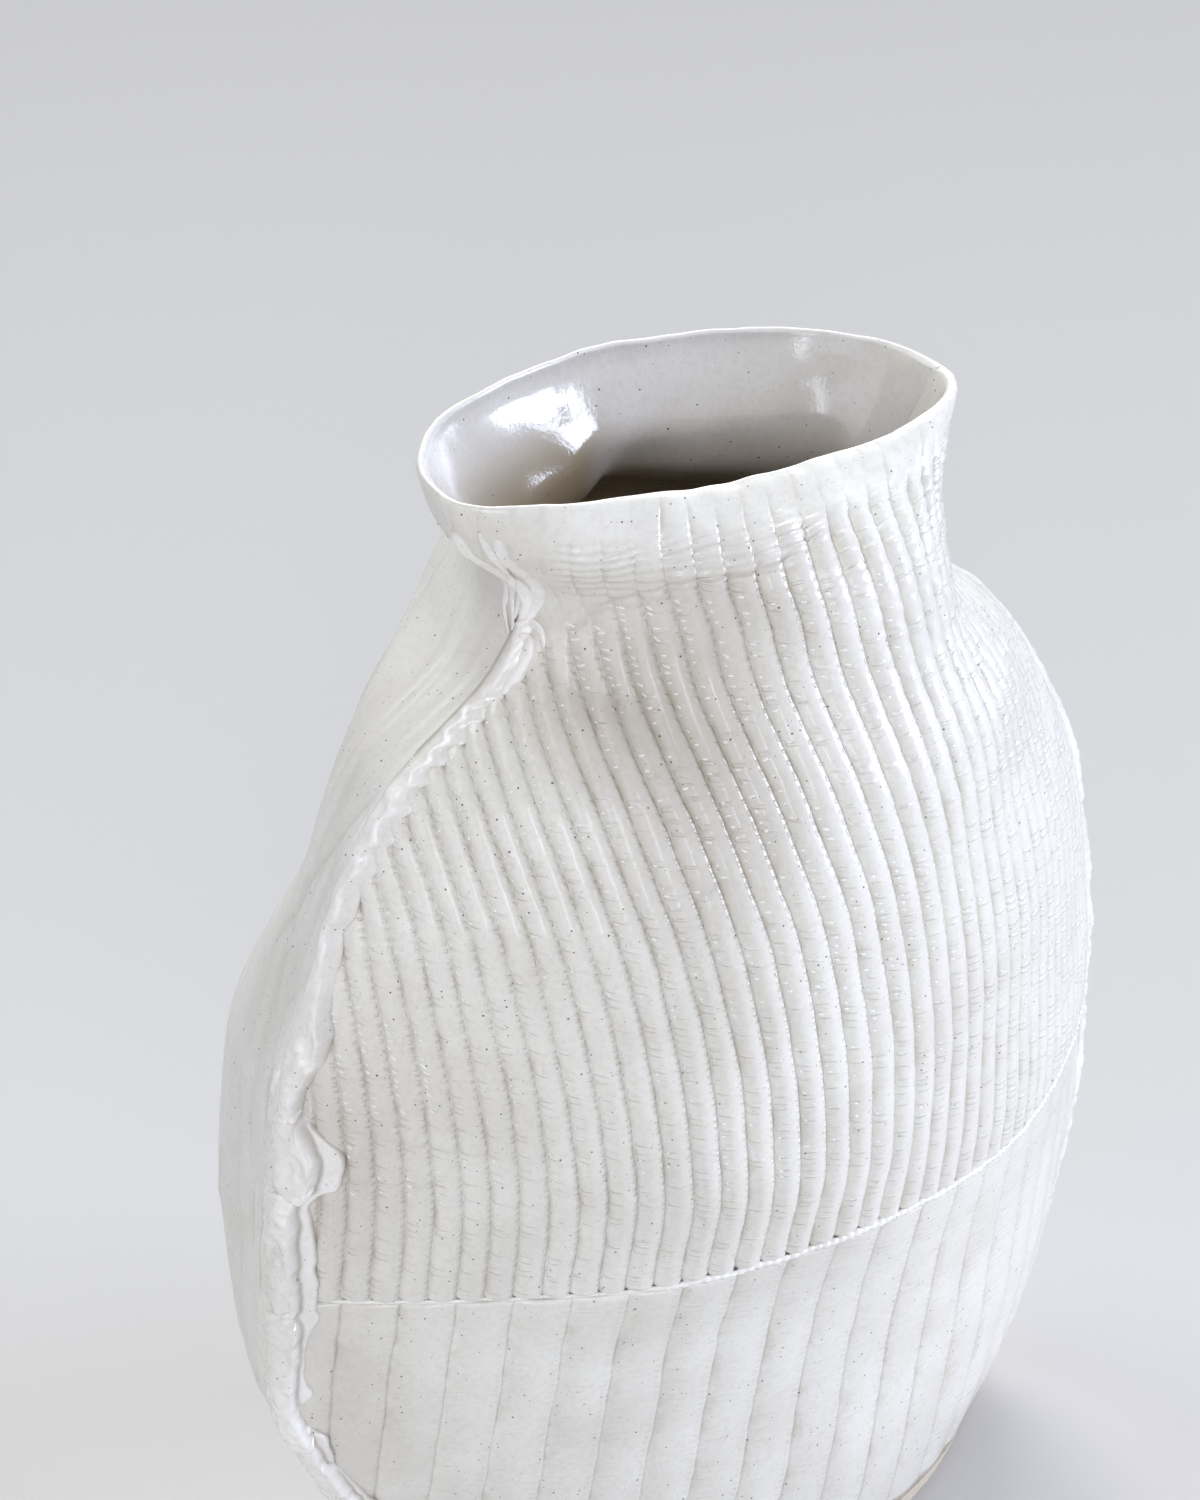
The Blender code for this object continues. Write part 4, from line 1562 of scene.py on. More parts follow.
@dataclass
class BellyBeads:
    """The strand of small beads squeezed out along the belly seam.

    Its sizes are in millimetres. It starts and ends a little way from the upright seams, and
    the beads show only at the right, where it rises out of the seam.
    """

    name: str
    form: JarForm
    bead: float = 2.05
    step: float = 0.34
    start: float = 5.0
    end: float = 4.0
    thin: float = 0.42
    sunk: float = 1.25
    sides: int = 10

    def __post_init__(self) -> None:
        """Seeds its unevenness."""
        self.noise = Noise(71)

    def build(self) -> bpy.types.Object:
        """Builds the strand.

        Returns:
            The piece.
        """
        lengths, _ = self.form.arc(Side.FRONT, BELLY_SEAM)
        total = lengths[-1]
        walked = np.arange(self.start, total - self.end, self.step)
        turns = np.interp(walked, lengths, self.form.TURNS)
        sag = belly_sag(walked, np.full(len(walked), total))
        heights = BELLY_SEAM + sag + 0.25 * self.noise.at(walked / 6.0, 1.0)
        centres = self.form.point(Side.FRONT, turns, heights)
        aways = self.form.normal(Side.FRONT, turns, heights)
        upward = np.cross(unit(np.gradient(centres, axis=0)), aways)
        share = ramp(walked, 66.0, 92.0)
        drift = 0.8 * self.noise.at(walked / 7.0, 4.0)
        beat = np.abs(np.sin(math.pi * walked / self.bead + drift))
        width = self.thin + share * (0.16 + 0.28 * beat + 0.16 * self.noise.at(walked / 3.0, 8.0))
        depth = -self.sunk + share * (0.72 + 0.18 * self.noise.at(walked / 5.0, 12.0))
        centres = centres + aways * depth[:, None]
        points = tube_points(centres, aways, upward, width, 1.15 * width, self.sides)
        return add_piece(self.name, points, tube_faces(1, *points.shape[:2]), True)


@dataclass(frozen=True)
class StitchZone:
    """A part of the ribbed wall where the cloth's stitches left raised marks.

    first and last count the ribs, low and high are heights, step is the distance from mark to
    mark up a rib, gap that from the groove to the mark, and size its length across the rib.
    share is how many of the marks took.
    """

    first: int
    last: int
    low: float
    high: float
    step: float
    gap: float
    size: float
    share: float


STITCH_ZONES = (
    StitchZone(14, 15, 244.0, 256.5, 1.5, 0.5, 1.7, 0.85),
    StitchZone(16, 17, 243.0, 260.5, 1.5, 0.5, 1.6, 0.85),
    StitchZone(18, 20, 243.0, 262.0, 1.8, 0.5, 1.2, 0.8),
    StitchZone(21, 25, 236.0, 262.0, 2.1, 0.5, 1.0, 0.5),
    StitchZone(12, 20, 214.0, 243.0, 1.95, 0.45, 0.95, 0.6),
    StitchZone(12, 24, 180.0, 214.0, 1.95, 0.45, 0.85, 0.42),
    StitchZone(4, 11, 188.0, 246.0, 1.95, 0.45, 0.8, 0.42),
    StitchZone(1, 4, 160.0, 184.0, 1.8, 0.6, 1.5, 0.7),
    StitchZone(0, 5, 139.0, 151.0, 2.2, 0.5, 1.3, 0.45),
    StitchZone(5, 24, 140.0, 180.0, 1.95, 0.45, 0.7, 0.2),
    StitchZone(25, 31, 150.0, 262.0, 2.1, 0.4, 0.9, 0.35),
)


@dataclass
class StitchMarks:
    """The raised marks of stitches beside the grooves, each a small rounded bar.

    shares are the cuts along a bar, and widths its widths there as shares of radius.
    """

    name: str
    form: JarForm
    lines: RibLines
    relief: Relief
    sides: int = 6
    shares: tuple[float, ...] = (0.0, 0.12, 0.5, 0.88, 1.0)
    widths: tuple[float, ...] = (0.3, 0.8, 1.0, 0.8, 0.3)
    radius: float = 0.42
    flatness: float = 0.75

    def __post_init__(self) -> None:
        """Seeds the choice of marks."""
        self.random = np.random.default_rng(81)

    def marks(self) -> np.ndarray:
        """Chooses the marks.

        Returns:
            Rib, height, gap, length and slant of every mark that took.
        """
        found = []
        for zone in STITCH_ZONES:
            for rib in range(zone.first, zone.last + 1):
                height = zone.low + self.random.uniform(0.0, 2.0)
                while height < zone.high:
                    size = zone.size * self.random.uniform(0.6, 1.25)
                    gap = zone.gap * self.random.uniform(0.8, 1.7)
                    slant = self.random.uniform(-0.35, 0.25)
                    if self.random.uniform() < zone.share:
                        found.append((rib, height, gap, size, slant))
                    height += zone.step * self.random.uniform(0.85, 1.15)
        return np.array(found)

    def build(self) -> bpy.types.Object:
        """Builds the marks.

        Returns:
            The piece.
        """
        marks = self.marks()
        ribs, heights, gaps, sizes, slants = marks.T
        heights = np.stack([heights, heights + slants * sizes], axis=1)
        shape = heights.shape
        turns, counted, lengths, widths = (np.zeros(shape) for _ in range(4))
        for number in range(shape[0]):
            walked, across = self.form.arc(Side.FRONT, heights[number, 0])
            grooves = self.lines.places(heights[number, 0], walked, across)
            start = np.interp(ribs[number], self.lines.grooves, grooves) + gaps[number]
            line = np.array([start, start + sizes[number]])
            turns[number] = np.interp(line, walked, self.form.TURNS)
            counted[number] = np.interp(line, grooves, self.lines.grooves)
            lengths[number] = line
            widths[number] = walked[-1]
        normals = self.form.normal(Side.FRONT, turns, heights)
        columns = np.tile(np.arange(2), (shape[0], 1))
        patch = Patch(turns, normals, counted, lengths, heights, widths, columns)
        offset, _, _ = self.relief.read(patch)
        ends = self.form.point(Side.FRONT, turns, heights) + normals * offset[..., None]
        ends = ends + self.form.rim_sway(ends)
        outward = normals.mean(axis=1)
        aside = np.cross(outward, unit(ends[:, 1] - ends[:, 0]))
        shares = np.array(self.shares)[None, :, None]
        centres = ends[:, None, 0] * (1.0 - shares) + ends[:, None, 1] * shares
        radii = self.radius * np.array(self.widths)[None]
        radii = radii * self.random.uniform(0.7, 1.1, (shape[0], 1))
        aside, outward = aside[:, None], outward[:, None]
        points = tube_points(centres, aside, outward, radii, self.flatness * radii, self.sides)
        faces = tube_faces(shape[0], len(self.widths), self.sides)
        return add_piece(self.name, points, faces, False)


@dataclass(frozen=True)
class Strand:
    """A fold of clay that stands up like a strand, over the left seam.

    Its path is in pairs of place and height. The place is the length from the seam, negative on
    the front.
    """

    path: tuple[tuple[float, float], ...]
    radius: float
    sink: float = 0.3


SEAM_STRANDS = (
    Strand(((1.8, 253.2), (-2.1, 254.6), (-5.4, 253.4), (-7.9, 250.6)), 0.6, 0.55),
    Strand(((-1.5, 252.4), (-4.0, 250.6), (-5.4, 247.0), (-5.0, 242.0)), 0.8, 0.55),
    Strand(((-10.8, 279.0), (-9.2, 272.5), (-5.6, 264.4), (-2.6, 258.6), (-1.4, 254.0)), 1.0, 0.8),
    Strand(((-7.8, 280.4), (-7.4, 274.1), (-2.0, 266.0), (1.8, 260.0), (2.5, 254.0)), 0.6, 0.5),
    Strand(((2.4, 276.0), (4.4, 268.0), (4.6, 258.0), (1.5, 252.4)), 0.6, 0.5),
    Strand(((6.7, 278.0), (5.9, 273.4), (7.2, 264.0), (6.9, 255.8), (2.0, 251.4)), 0.5, 0.5),
    Strand(((4.1, 134.4), (0.5, 135.8), (-2.1, 137.0), (-4.8, 139.2), (-6.9, 141.1)), 0.7, 0.5),
    Strand(((3.1, 153.7), (0.5, 154.7), (-0.9, 156.3), (-2.4, 158.4)), 0.6, 0.5),
    Strand(((5.2, 101.7), (1.3, 104.1), (-0.9, 106.1), (-2.5, 108.2)), 0.7, 0.5),
    Strand(((2.2, 70.0), (-0.6, 69.6), (-2.9, 70.2), (-4.5, 72.6)), 0.7, 0.5),
)


@dataclass
class SeamStrands:
    """The knot under the collar and the folds across the left seam's rolls.

    rolls are those of the left seam, which the strands lie on. spread is how many times wider
    than high a strand is.
    """

    name: str
    rolls: list[SeamRoll]
    sides: int = 14
    steps: int = 40
    spread: float = 1.9

    def __post_init__(self) -> None:
        """Seeds the strands' unevenness."""
        self.noise = Noise(91)

    def top(self, height: float, place: float) -> float:
        """How high the rolls stand at a place.

        Args:
            height: Height up the wall.
            place: Length from the seam.

        Returns:
            Millimetres over the clay.
        """
        found = 0.0
        for roll in self.rolls:
            if roll.knots[0] < height < roll.knots[-1]:
                places, lift, _ = roll.profile(height, roll.swell(height))
                found = max(found, float(np.interp(place, places, lift, 0.0, 0.0)))
        return found

    def tube(self, strand: Strand, number: int) -> np.ndarray:
        """Lays one strand over the rolls.

        Args:
            strand: Its path and thickness.
            number: Its place in the list, which picks its unevenness.

        Returns:
            Its points, row by row.
        """
        path = np.array(strand.path, float)
        lengths = np.linalg.norm(np.diff(path, axis=0), axis=1)
        walked = np.concatenate(([0.0], np.cumsum(lengths)))
        steps = np.linspace(0.0, walked[-1], self.steps)
        places, heights = (smooth_curve(steps, walked, path[:, i]) for i in range(2))
        shares = steps / walked[-1]
        radii = strand.radius * np.clip(4.0 * shares * (1.0 - shares), 0.01, 1.0) ** 0.35
        radii = radii * (1.0 + 0.25 * self.noise.at(steps / 1.8, number * 7.3))
        centres, outward = [], []
        for place, height, radius in zip(places, heights, radii):
            points, aways = self.rolls[0].ground(height, np.array([place]))
            rise = self.top(height, place) - strand.sink * radius
            centres.append(points[0] + aways[0] * rise)
            outward.append(aways[0])
        centres = np.array(centres)
        centres = centres + self.rolls[0].form.rim_sway(centres)
        along = unit(np.gradient(centres, axis=0))
        aside = unit(np.cross(np.array(outward), along))
        wide = self.spread * radii
        return tube_points(centres, aside, np.cross(along, aside), wide, radii, self.sides)

    def build(self) -> bpy.types.Object:
        """Builds the strands.

        Returns:
            The piece.
        """
        tubes = [self.tube(strand, number) for number, strand in enumerate(SEAM_STRANDS)]
        faces = tube_faces(len(tubes), self.steps, self.sides)
        return add_piece(self.name, np.array(tubes), faces, False)


@dataclass(frozen=True)
class GlazeFinish:
    """How a glazed surface looks. Colours are sRGB, and sizes millimetres.

    The second colour is brown: the glaze takes a little of it in milky patches and grains,
    and the shade painted in grooves and creases darkens towards it. speck_share is how strongly
    the iron shows through, and ticks whether the surface has the marks of knitted cloth and
    the shade painted beside its grooves.
    """

    name: str
    colour: str
    brown_and_shade: str
    roughness: float
    coat: float
    coat_roughness: float
    speck_share: float
    ticks: bool = False


@dataclass(frozen=True)
class ClayFinish:
    """How bare fired clay looks. Colours are sRGB."""

    name: str
    colour: str
    dark: str
    roughness: float
    grit: float


@dataclass(frozen=True)
class Glazes:
    """The glaze and clay materials, each procedural and measured in millimetres.

    speck and rust are the colours of iron specks, and deep the dark warm colour of painted
    shade, inside the jar, at the seam rolls' feet and over patches of the front, where it is
    partly a warmer glaze. patch, stain and grain are the sizes of patterns in the glaze, peel
    and stitch those of patterns on it, and the depths are in the surface.
    """

    speck: str = "#463b31"
    rust: str = "#8a5a2c"
    deep: str = "#94846c"
    patch: float = 26.0
    stain: float = 9.0
    grain: float = 1.4
    peel: float = 2.0
    peel_depth: float = 0.062
    inside_roughness: float = 0.09
    stitch: float = 1.95
    stitch_depth: float = 0.2
    grit_depth: float = 0.08

    @staticmethod
    def linear(colour: str) -> tuple[float, float, float, float]:
        """A colour as the renderer needs it.

        Args:
            colour: Six sRGB digits after a hash.

        Returns:
            Linear red, green, blue and an alpha of 1.
        """
        parts = [int(colour[i : i + 2], 16) / 255 for i in (1, 3, 5)]
        found = [p / 12.92 if p <= 0.04045 else ((p + 0.055) / 1.055) ** 2.4 for p in parts]
        return (*found, 1.0)

    @staticmethod
    def add(
        tree: bpy.types.NodeTree,
        kind: str,
        inputs: tuple | dict = (),
        output: int | str = 0,
        **settings: object,
    ) -> bpy.types.NodeSocket:
        """Adds a node with its settings and links.

        Args:
            tree: The material's nodes.
            kind: The node's type, without its ShaderNode prefix.
            inputs: Values or sockets for its inputs, in order, or by name or number.
            output: Name or number of the output to return.
            settings: Properties to set on the node.

        Returns:
            The output.
        """
        made = tree.nodes.new("ShaderNode" + kind)
        for key, value in settings.items():
            setattr(made, key, value)
        given = inputs.items() if isinstance(inputs, dict) else enumerate(inputs)
        for key, value in given:
            if isinstance(value, bpy.types.NodeSocket):
                tree.links.new(value, made.inputs[key])
            else:
                made.inputs[key].default_value = value
        return made.outputs[output]

    def specks(
        self, tree: bpy.types.NodeTree, place: bpy.types.NodeSocket, cell: float, radius: float
    ) -> tuple[bpy.types.NodeSocket, bpy.types.NodeSocket]:
        """Round specks scattered in the clay.

        Args:
            tree: The material's nodes.
            place: The object's coordinates.
            cell: Average distance between specks, in millimetres.
            radius: Radius of the largest, in millimetres.

        Returns:
            Two sockets: how much of a speck there is, and a number of its own.
        """
        add = partial(self.add, tree)
        away = add("TexVoronoi", {"Vector": place, "Scale": 1.0 / (cell * MM)}, feature="F1")
        own = add("SeparateColor", (away.node.outputs["Color"],))
        size = add("Math", (own, own), operation="MULTIPLY")
        size = add(
            "Math", (size, 0.75 * radius / cell, 0.25 * radius / cell), operation="MULTIPLY_ADD"
        )
        share = add("Math", (away, size), operation="DIVIDE")
        dark = add("MapRange", (share, 1.1, 0.7), interpolation_type="SMOOTHSTEP")
        return dark, own.node.outputs[1]

    def glaze_colour(
        self, tree: bpy.types.NodeTree, place: bpy.types.NodeSocket, finish: GlazeFinish
    ) -> bpy.types.NodeSocket:
        """The colour of the glaze and of what shows through it.

        Args:
            tree: The material's nodes.
            place: The object's coordinates.
            finish: The glaze's colours.

        Returns:
            The socket.
        """
        add = partial(self.add, tree)
        rgb = {"output": 2, "data_type": "RGBA"}
        soft = {"interpolation_type": "SMOOTHSTEP"}
        patches, stains, grains = (
            add(
                "TexNoise",
                {"Vector": place, "Scale": 1 / (size * MM), "Detail": 3.0, "Roughness": rough},
            )
            for size, rough in ((self.patch, 0.55), (self.stain, 0.6), (self.grain, 0.7))
        )
        brown_and_shade = self.linear(finish.brown_and_shade)
        # Milky patches a few centimetres wide, where the glaze lies thicker.
        milky = add("MapRange", (patches, 0.35, 0.68, 0.0, 0.14), **soft)
        body = add("Mix", {0: milky, 6: self.linear(finish.colour), 7: brown_and_shade}, **rgb)
        # Painted shade: grooves, creases and wrinkle valleys, and on the ribbed front the flank
        # beside each groove, are darkened towards the brown colour, more so in the random stains.
        stains = add("MapRange", (stains, 0.42, 0.72), **soft)
        depth = add("Attribute", output="Fac", attribute_name="recess")
        groove_shade = add("Math", (stains, 0.2, 0.08), operation="MULTIPLY_ADD")
        groove_shade = add("Math", (groove_shade, depth), operation="MULTIPLY")
        if finish.ticks:
            flank_shade = add("Math", (stains, self.groove_nearness(tree)), operation="MULTIPLY")
            groove_shade = add("Math", (flank_shade, 0.26, groove_shade), operation="MULTIPLY_ADD", use_clamp=True)
        body = add("Mix", {0: groove_shade, 6: body, 7: brown_and_shade}, **rgb)
        # A fine mottle, as of clay grains under a thin glaze.
        mottle = add("MapRange", (grains, 0.45, 0.8, 0.0, 0.17))
        body = add("Mix", {0: mottle, 6: body, 7: brown_and_shade}, **rgb)
        # Painted shade: the glaze is darkened to deep inside the jar and at the rolls' feet, and
        # front patches are painted darker and warmer, partly as shade and partly as a warmer
        # glaze.
        shade = add("Attribute", output="Fac", attribute_name="shade")
        body = add("Mix", {0: shade, 6: body, 7: self.linear(self.deep)}, **rgb)
        # Iron specks burnt through the glaze, a few of them rusty.
        large, own = self.specks(tree, place, 1.8, 0.27)
        small, _ = self.specks(tree, place, 0.95, 0.13)
        rusty = add("MapRange", (own, 0.90, 0.93))
        iron = add("Mix", {0: rusty, 6: self.linear(self.speck), 7: self.linear(self.rust)}, **rgb)
        for dark, share in ((small, 0.5), (large, 0.92)):
            amount = add("Math", (dark, share * finish.speck_share), operation="MULTIPLY")
            body = add("Mix", {0: amount, 6: body, 7: iron}, **rgb)
        return body

    def glaze(self, finish: GlazeFinish) -> bpy.types.Material:
        """A clear, slightly milky glaze over speckled stoneware.

        A wet-looking coat lies over a body that scatters light, so that crests shine in thin
        white lines while the flanks stay soft.

        Args:
            finish: Its colours and gloss.

        Returns:
            The material.
        """
        material = bpy.data.materials.new(finish.name)
        material.use_nodes = True
        tree = material.node_tree
        add = partial(self.add, tree)
        shader = tree.nodes["Principled BSDF"]
        place = add("TexCoord", output="Object")
        tree.links.new(self.glaze_colour(tree, place, finish), shader.inputs["Base Color"])
        # The jar shines more inside, where the glaze was poured and ran smooth.
        inside = add("Attribute", output="Fac", attribute_name="inside")
        rough = add("MapRange", (inside, 0.0, 1.0, finish.roughness, self.inside_roughness))
        tree.links.new(rough, shader.inputs["Roughness"])
        shader.inputs["IOR"].default_value = 1.5
        shader.inputs["Coat Weight"].default_value = finish.coat
        shader.inputs["Coat Roughness"].default_value = finish.coat_roughness
        # Orange peel of a dipped glaze.
        peel = add(
            "TexNoise",
            {"Vector": place, "Scale": 1 / (self.peel * MM), "Detail": 3.6, "Roughness": 0.7},
        )
        height = add("Math", (peel, self.peel_depth * MM), operation="MULTIPLY")
        if finish.ticks:
            marks = (self.stitches(tree), self.stitch_depth * MM, height)
            height = add("Math", marks, operation="MULTIPLY_ADD")
        relief = add("Bump", {"Strength": 1.0, "Distance": 1.0, "Height": height})
        tree.links.new(relief, shader.inputs["Normal"])
        tree.links.new(relief, shader.inputs["Coat Normal"])
        return material

    def groove_nearness(self, tree: bpy.types.NodeTree) -> bpy.types.NodeSocket:
        """Reads how near a point of the ribbed wall is to a groove, from 0 to 1.

        It masks the shade painted on the flank beside each groove.

        Args:
            tree: The material's nodes.

        Returns:
            The socket.
        """
        add = partial(self.add, tree)
        rib = add("SeparateXYZ", (add("UVMap", uv_map="rib_chart"),))
        phase = add("Math", (rib,), operation="FRACT")
        after = add("MapRange", (phase, 0.30, 0.0), interpolation_type="SMOOTHSTEP")
        before = add("MapRange", (phase, 0.90, 1.0), interpolation_type="SMOOTHSTEP")
        return add("Math", (after, before), operation="MAXIMUM")

    def stitches(self, tree: bpy.types.NodeTree) -> bpy.types.NodeSocket:
        """Marks that the stitches of the knitted cloth left beside the grooves.

        Small beads scallop the right edge of each rib. Rungs a third of a rib long come and go
        on its left.

        Args:
            tree: The material's nodes.

        Returns:
            A socket with the height of the marks, from 0 to 1.
        """
        add = partial(self.add, tree)
        soft = {"interpolation_type": "SMOOTHSTEP"}
        chart = add("UVMap", uv_map="rib_chart")
        rib = add("SeparateXYZ", (chart,))
        height = rib.node.outputs[1]
        phase = add("Math", (rib,), operation="FRACT")
        column = add("Math", (rib,), operation="FLOOR")
        spots = {"Vector": chart, "Scale": 0.33, "Detail": 2.0}
        spots = add("TexNoise", spots, noise_dimensions="2D")
        wave = add("Math", (height, 2 * math.pi / self.stitch), operation="MULTIPLY")
        wave = add("Math", (column, 2.4, wave), operation="MULTIPLY_ADD")
        wave = add("Math", (spots, 9.0, wave), operation="MULTIPLY_ADD")
        rungs = add("MapRange", (add("Math", (wave,), operation="SINE"), 0.0, 0.9))
        marks = []
        for low, full, fading, out, share in (
            (0.05, 0.10, 0.32, 0.60, 0.9),
            (0.80, 0.88, 0.95, 0.99, 1.0),
        ):
            rise = add("MapRange", (phase, low, full), **soft)
            fall = add("MapRange", (phase, out, fading), **soft)
            strip = add("Math", (rise, fall), operation="MULTIPLY")
            marks.append(add("Math", (strip, share), operation="MULTIPLY"))
        kept = add("MapRange", (spots, 0.50, 0.58), **soft)
        ladder = add("Math", (marks[0], kept), operation="MULTIPLY")
        both = add("Math", (ladder, marks[1]), operation="MAXIMUM")
        both = add("Math", (both, rungs), operation="MULTIPLY")
        shown = add("Attribute", output="Fac", attribute_name="knit")
        return add("Math", (both, shown), operation="MULTIPLY")

    def clay(self, finish: ClayFinish) -> bpy.types.Material:
        """Bare fired stoneware, dry and sandy, with iron specks.

        Args:
            finish: Its colours and grit.

        Returns:
            The material.
        """
        material = bpy.data.materials.new(finish.name)
        material.use_nodes = True
        tree = material.node_tree
        add = partial(self.add, tree)
        shader = tree.nodes["Principled BSDF"]
        place = add("TexCoord", output="Object")
        grains = add(
            "TexNoise",
            {"Vector": place, "Scale": 1 / (finish.grit * MM), "Detail": 4.0, "Roughness": 0.7},
        )
        darker = add("MapRange", (grains, 0.3, 0.7))
        body, dark = self.linear(finish.colour), self.linear(finish.dark)
        body = add("Mix", {0: darker, 6: body, 7: dark}, 2, data_type="RGBA")
        iron, _ = self.specks(tree, place, 2.4, 0.3)
        amount = add("Math", (iron, 0.8), operation="MULTIPLY")
        body = add("Mix", {0: amount, 6: body, 7: self.linear(self.speck)}, 2, data_type="RGBA")
        tree.links.new(body, shader.inputs["Base Color"])
        shader.inputs["Roughness"].default_value = finish.roughness
        height = add("Math", (grains, self.grit_depth * MM), operation="MULTIPLY")
        relief = add("Bump", {"Strength": 1.0, "Distance": 1.0, "Height": height})
        tree.links.new(relief, shader.inputs["Normal"])
        return material


FRONT_GLAZE = GlazeFinish(
    "white_stoneware_glaze", "#f1eee7", "#a0907a", 0.36, 0.75, 0.12, 1.0, ticks=True
)
# A greyer copy of the white glaze on the back slab: painted shade.
BACK_SHADED_GLAZE = GlazeFinish("white_stoneware_glaze_shaded", "#e9e6e2", "#9c8b78", 0.4, 0.4, 0.2, 1.0)
# A whiter copy of the glaze on the stitch marks: painted highlight.
MARK_HIGHLIGHT_GLAZE = GlazeFinish("white_stoneware_glaze_highlight", "#fcfbf8", "#d8cfc2", 0.2, 1.0, 0.06, 0.0)
# A paler copy of the white glaze on the seam rolls, beads and strands: painted light.
SEAM_LIT_GLAZE = GlazeFinish("white_stoneware_glaze_lit", "#fbf8f4", "#96826a", 0.3, 1.0, 0.09, 0.8)
# A darker, warmer copy of the white glaze for the coils inside the jar: painted shade.
INSIDE_SHADED_GLAZE = GlazeFinish(
    "white_stoneware_glaze_inside_shaded", "#cdc2b2", "#a3937e", 0.26, 0.8, 0.06, 0.8
)
FOOT_CLAY = ClayFinish("bare_stoneware", "#ddd3c4", "#c9bba6", 0.82, 0.9)


@dataclass(frozen=True)
class Lamp:
    """A soft lamp, by where it shines from and how large and strong it is.

    shines is whether the glaze mirrors it.
    """

    name: str
    azimuth: float
    elevation: float
    distance: float
    width: float
    height: float
    watts: float
    colour: str
    shines: bool = True


LAMPS = (
    Lamp("sky_behind_right", 145.0, 36.0, 4.0, 2.2, 2.2, 120.0, "#fffdfb"),
    Lamp("window_right", 58.0, 14.0, 4.0, 1.7, 1.7, 145.0, "#e0e9ff"),
    Lamp("wall_right", 112.0, 35.0, 4.0, 2.2, 2.2, 15.0, "#dcecff"),
    Lamp("room_left", -58.0, 12.0, 4.0, 4.4, 4.4, 82.0, "#e8f0ff"),
    Lamp("room_front", -18.0, 34.0, 4.0, 2.4, 2.4, 38.0, "#f6f6fb", shines=False),
    Lamp("gap_behind", -34.5, 28.0, 4.0, 0.3, 3.2, 19.0, "#eef4ff"),
    Lamp("wall_left", -100.0, 50.0, 4.0, 1.6, 1.6, 12.0, "#ffe0b4"),
    Lamp("sky_left", -155.0, 60.0, 4.0, 2.2, 2.2, 52.0, "#eaf9ff"),
)


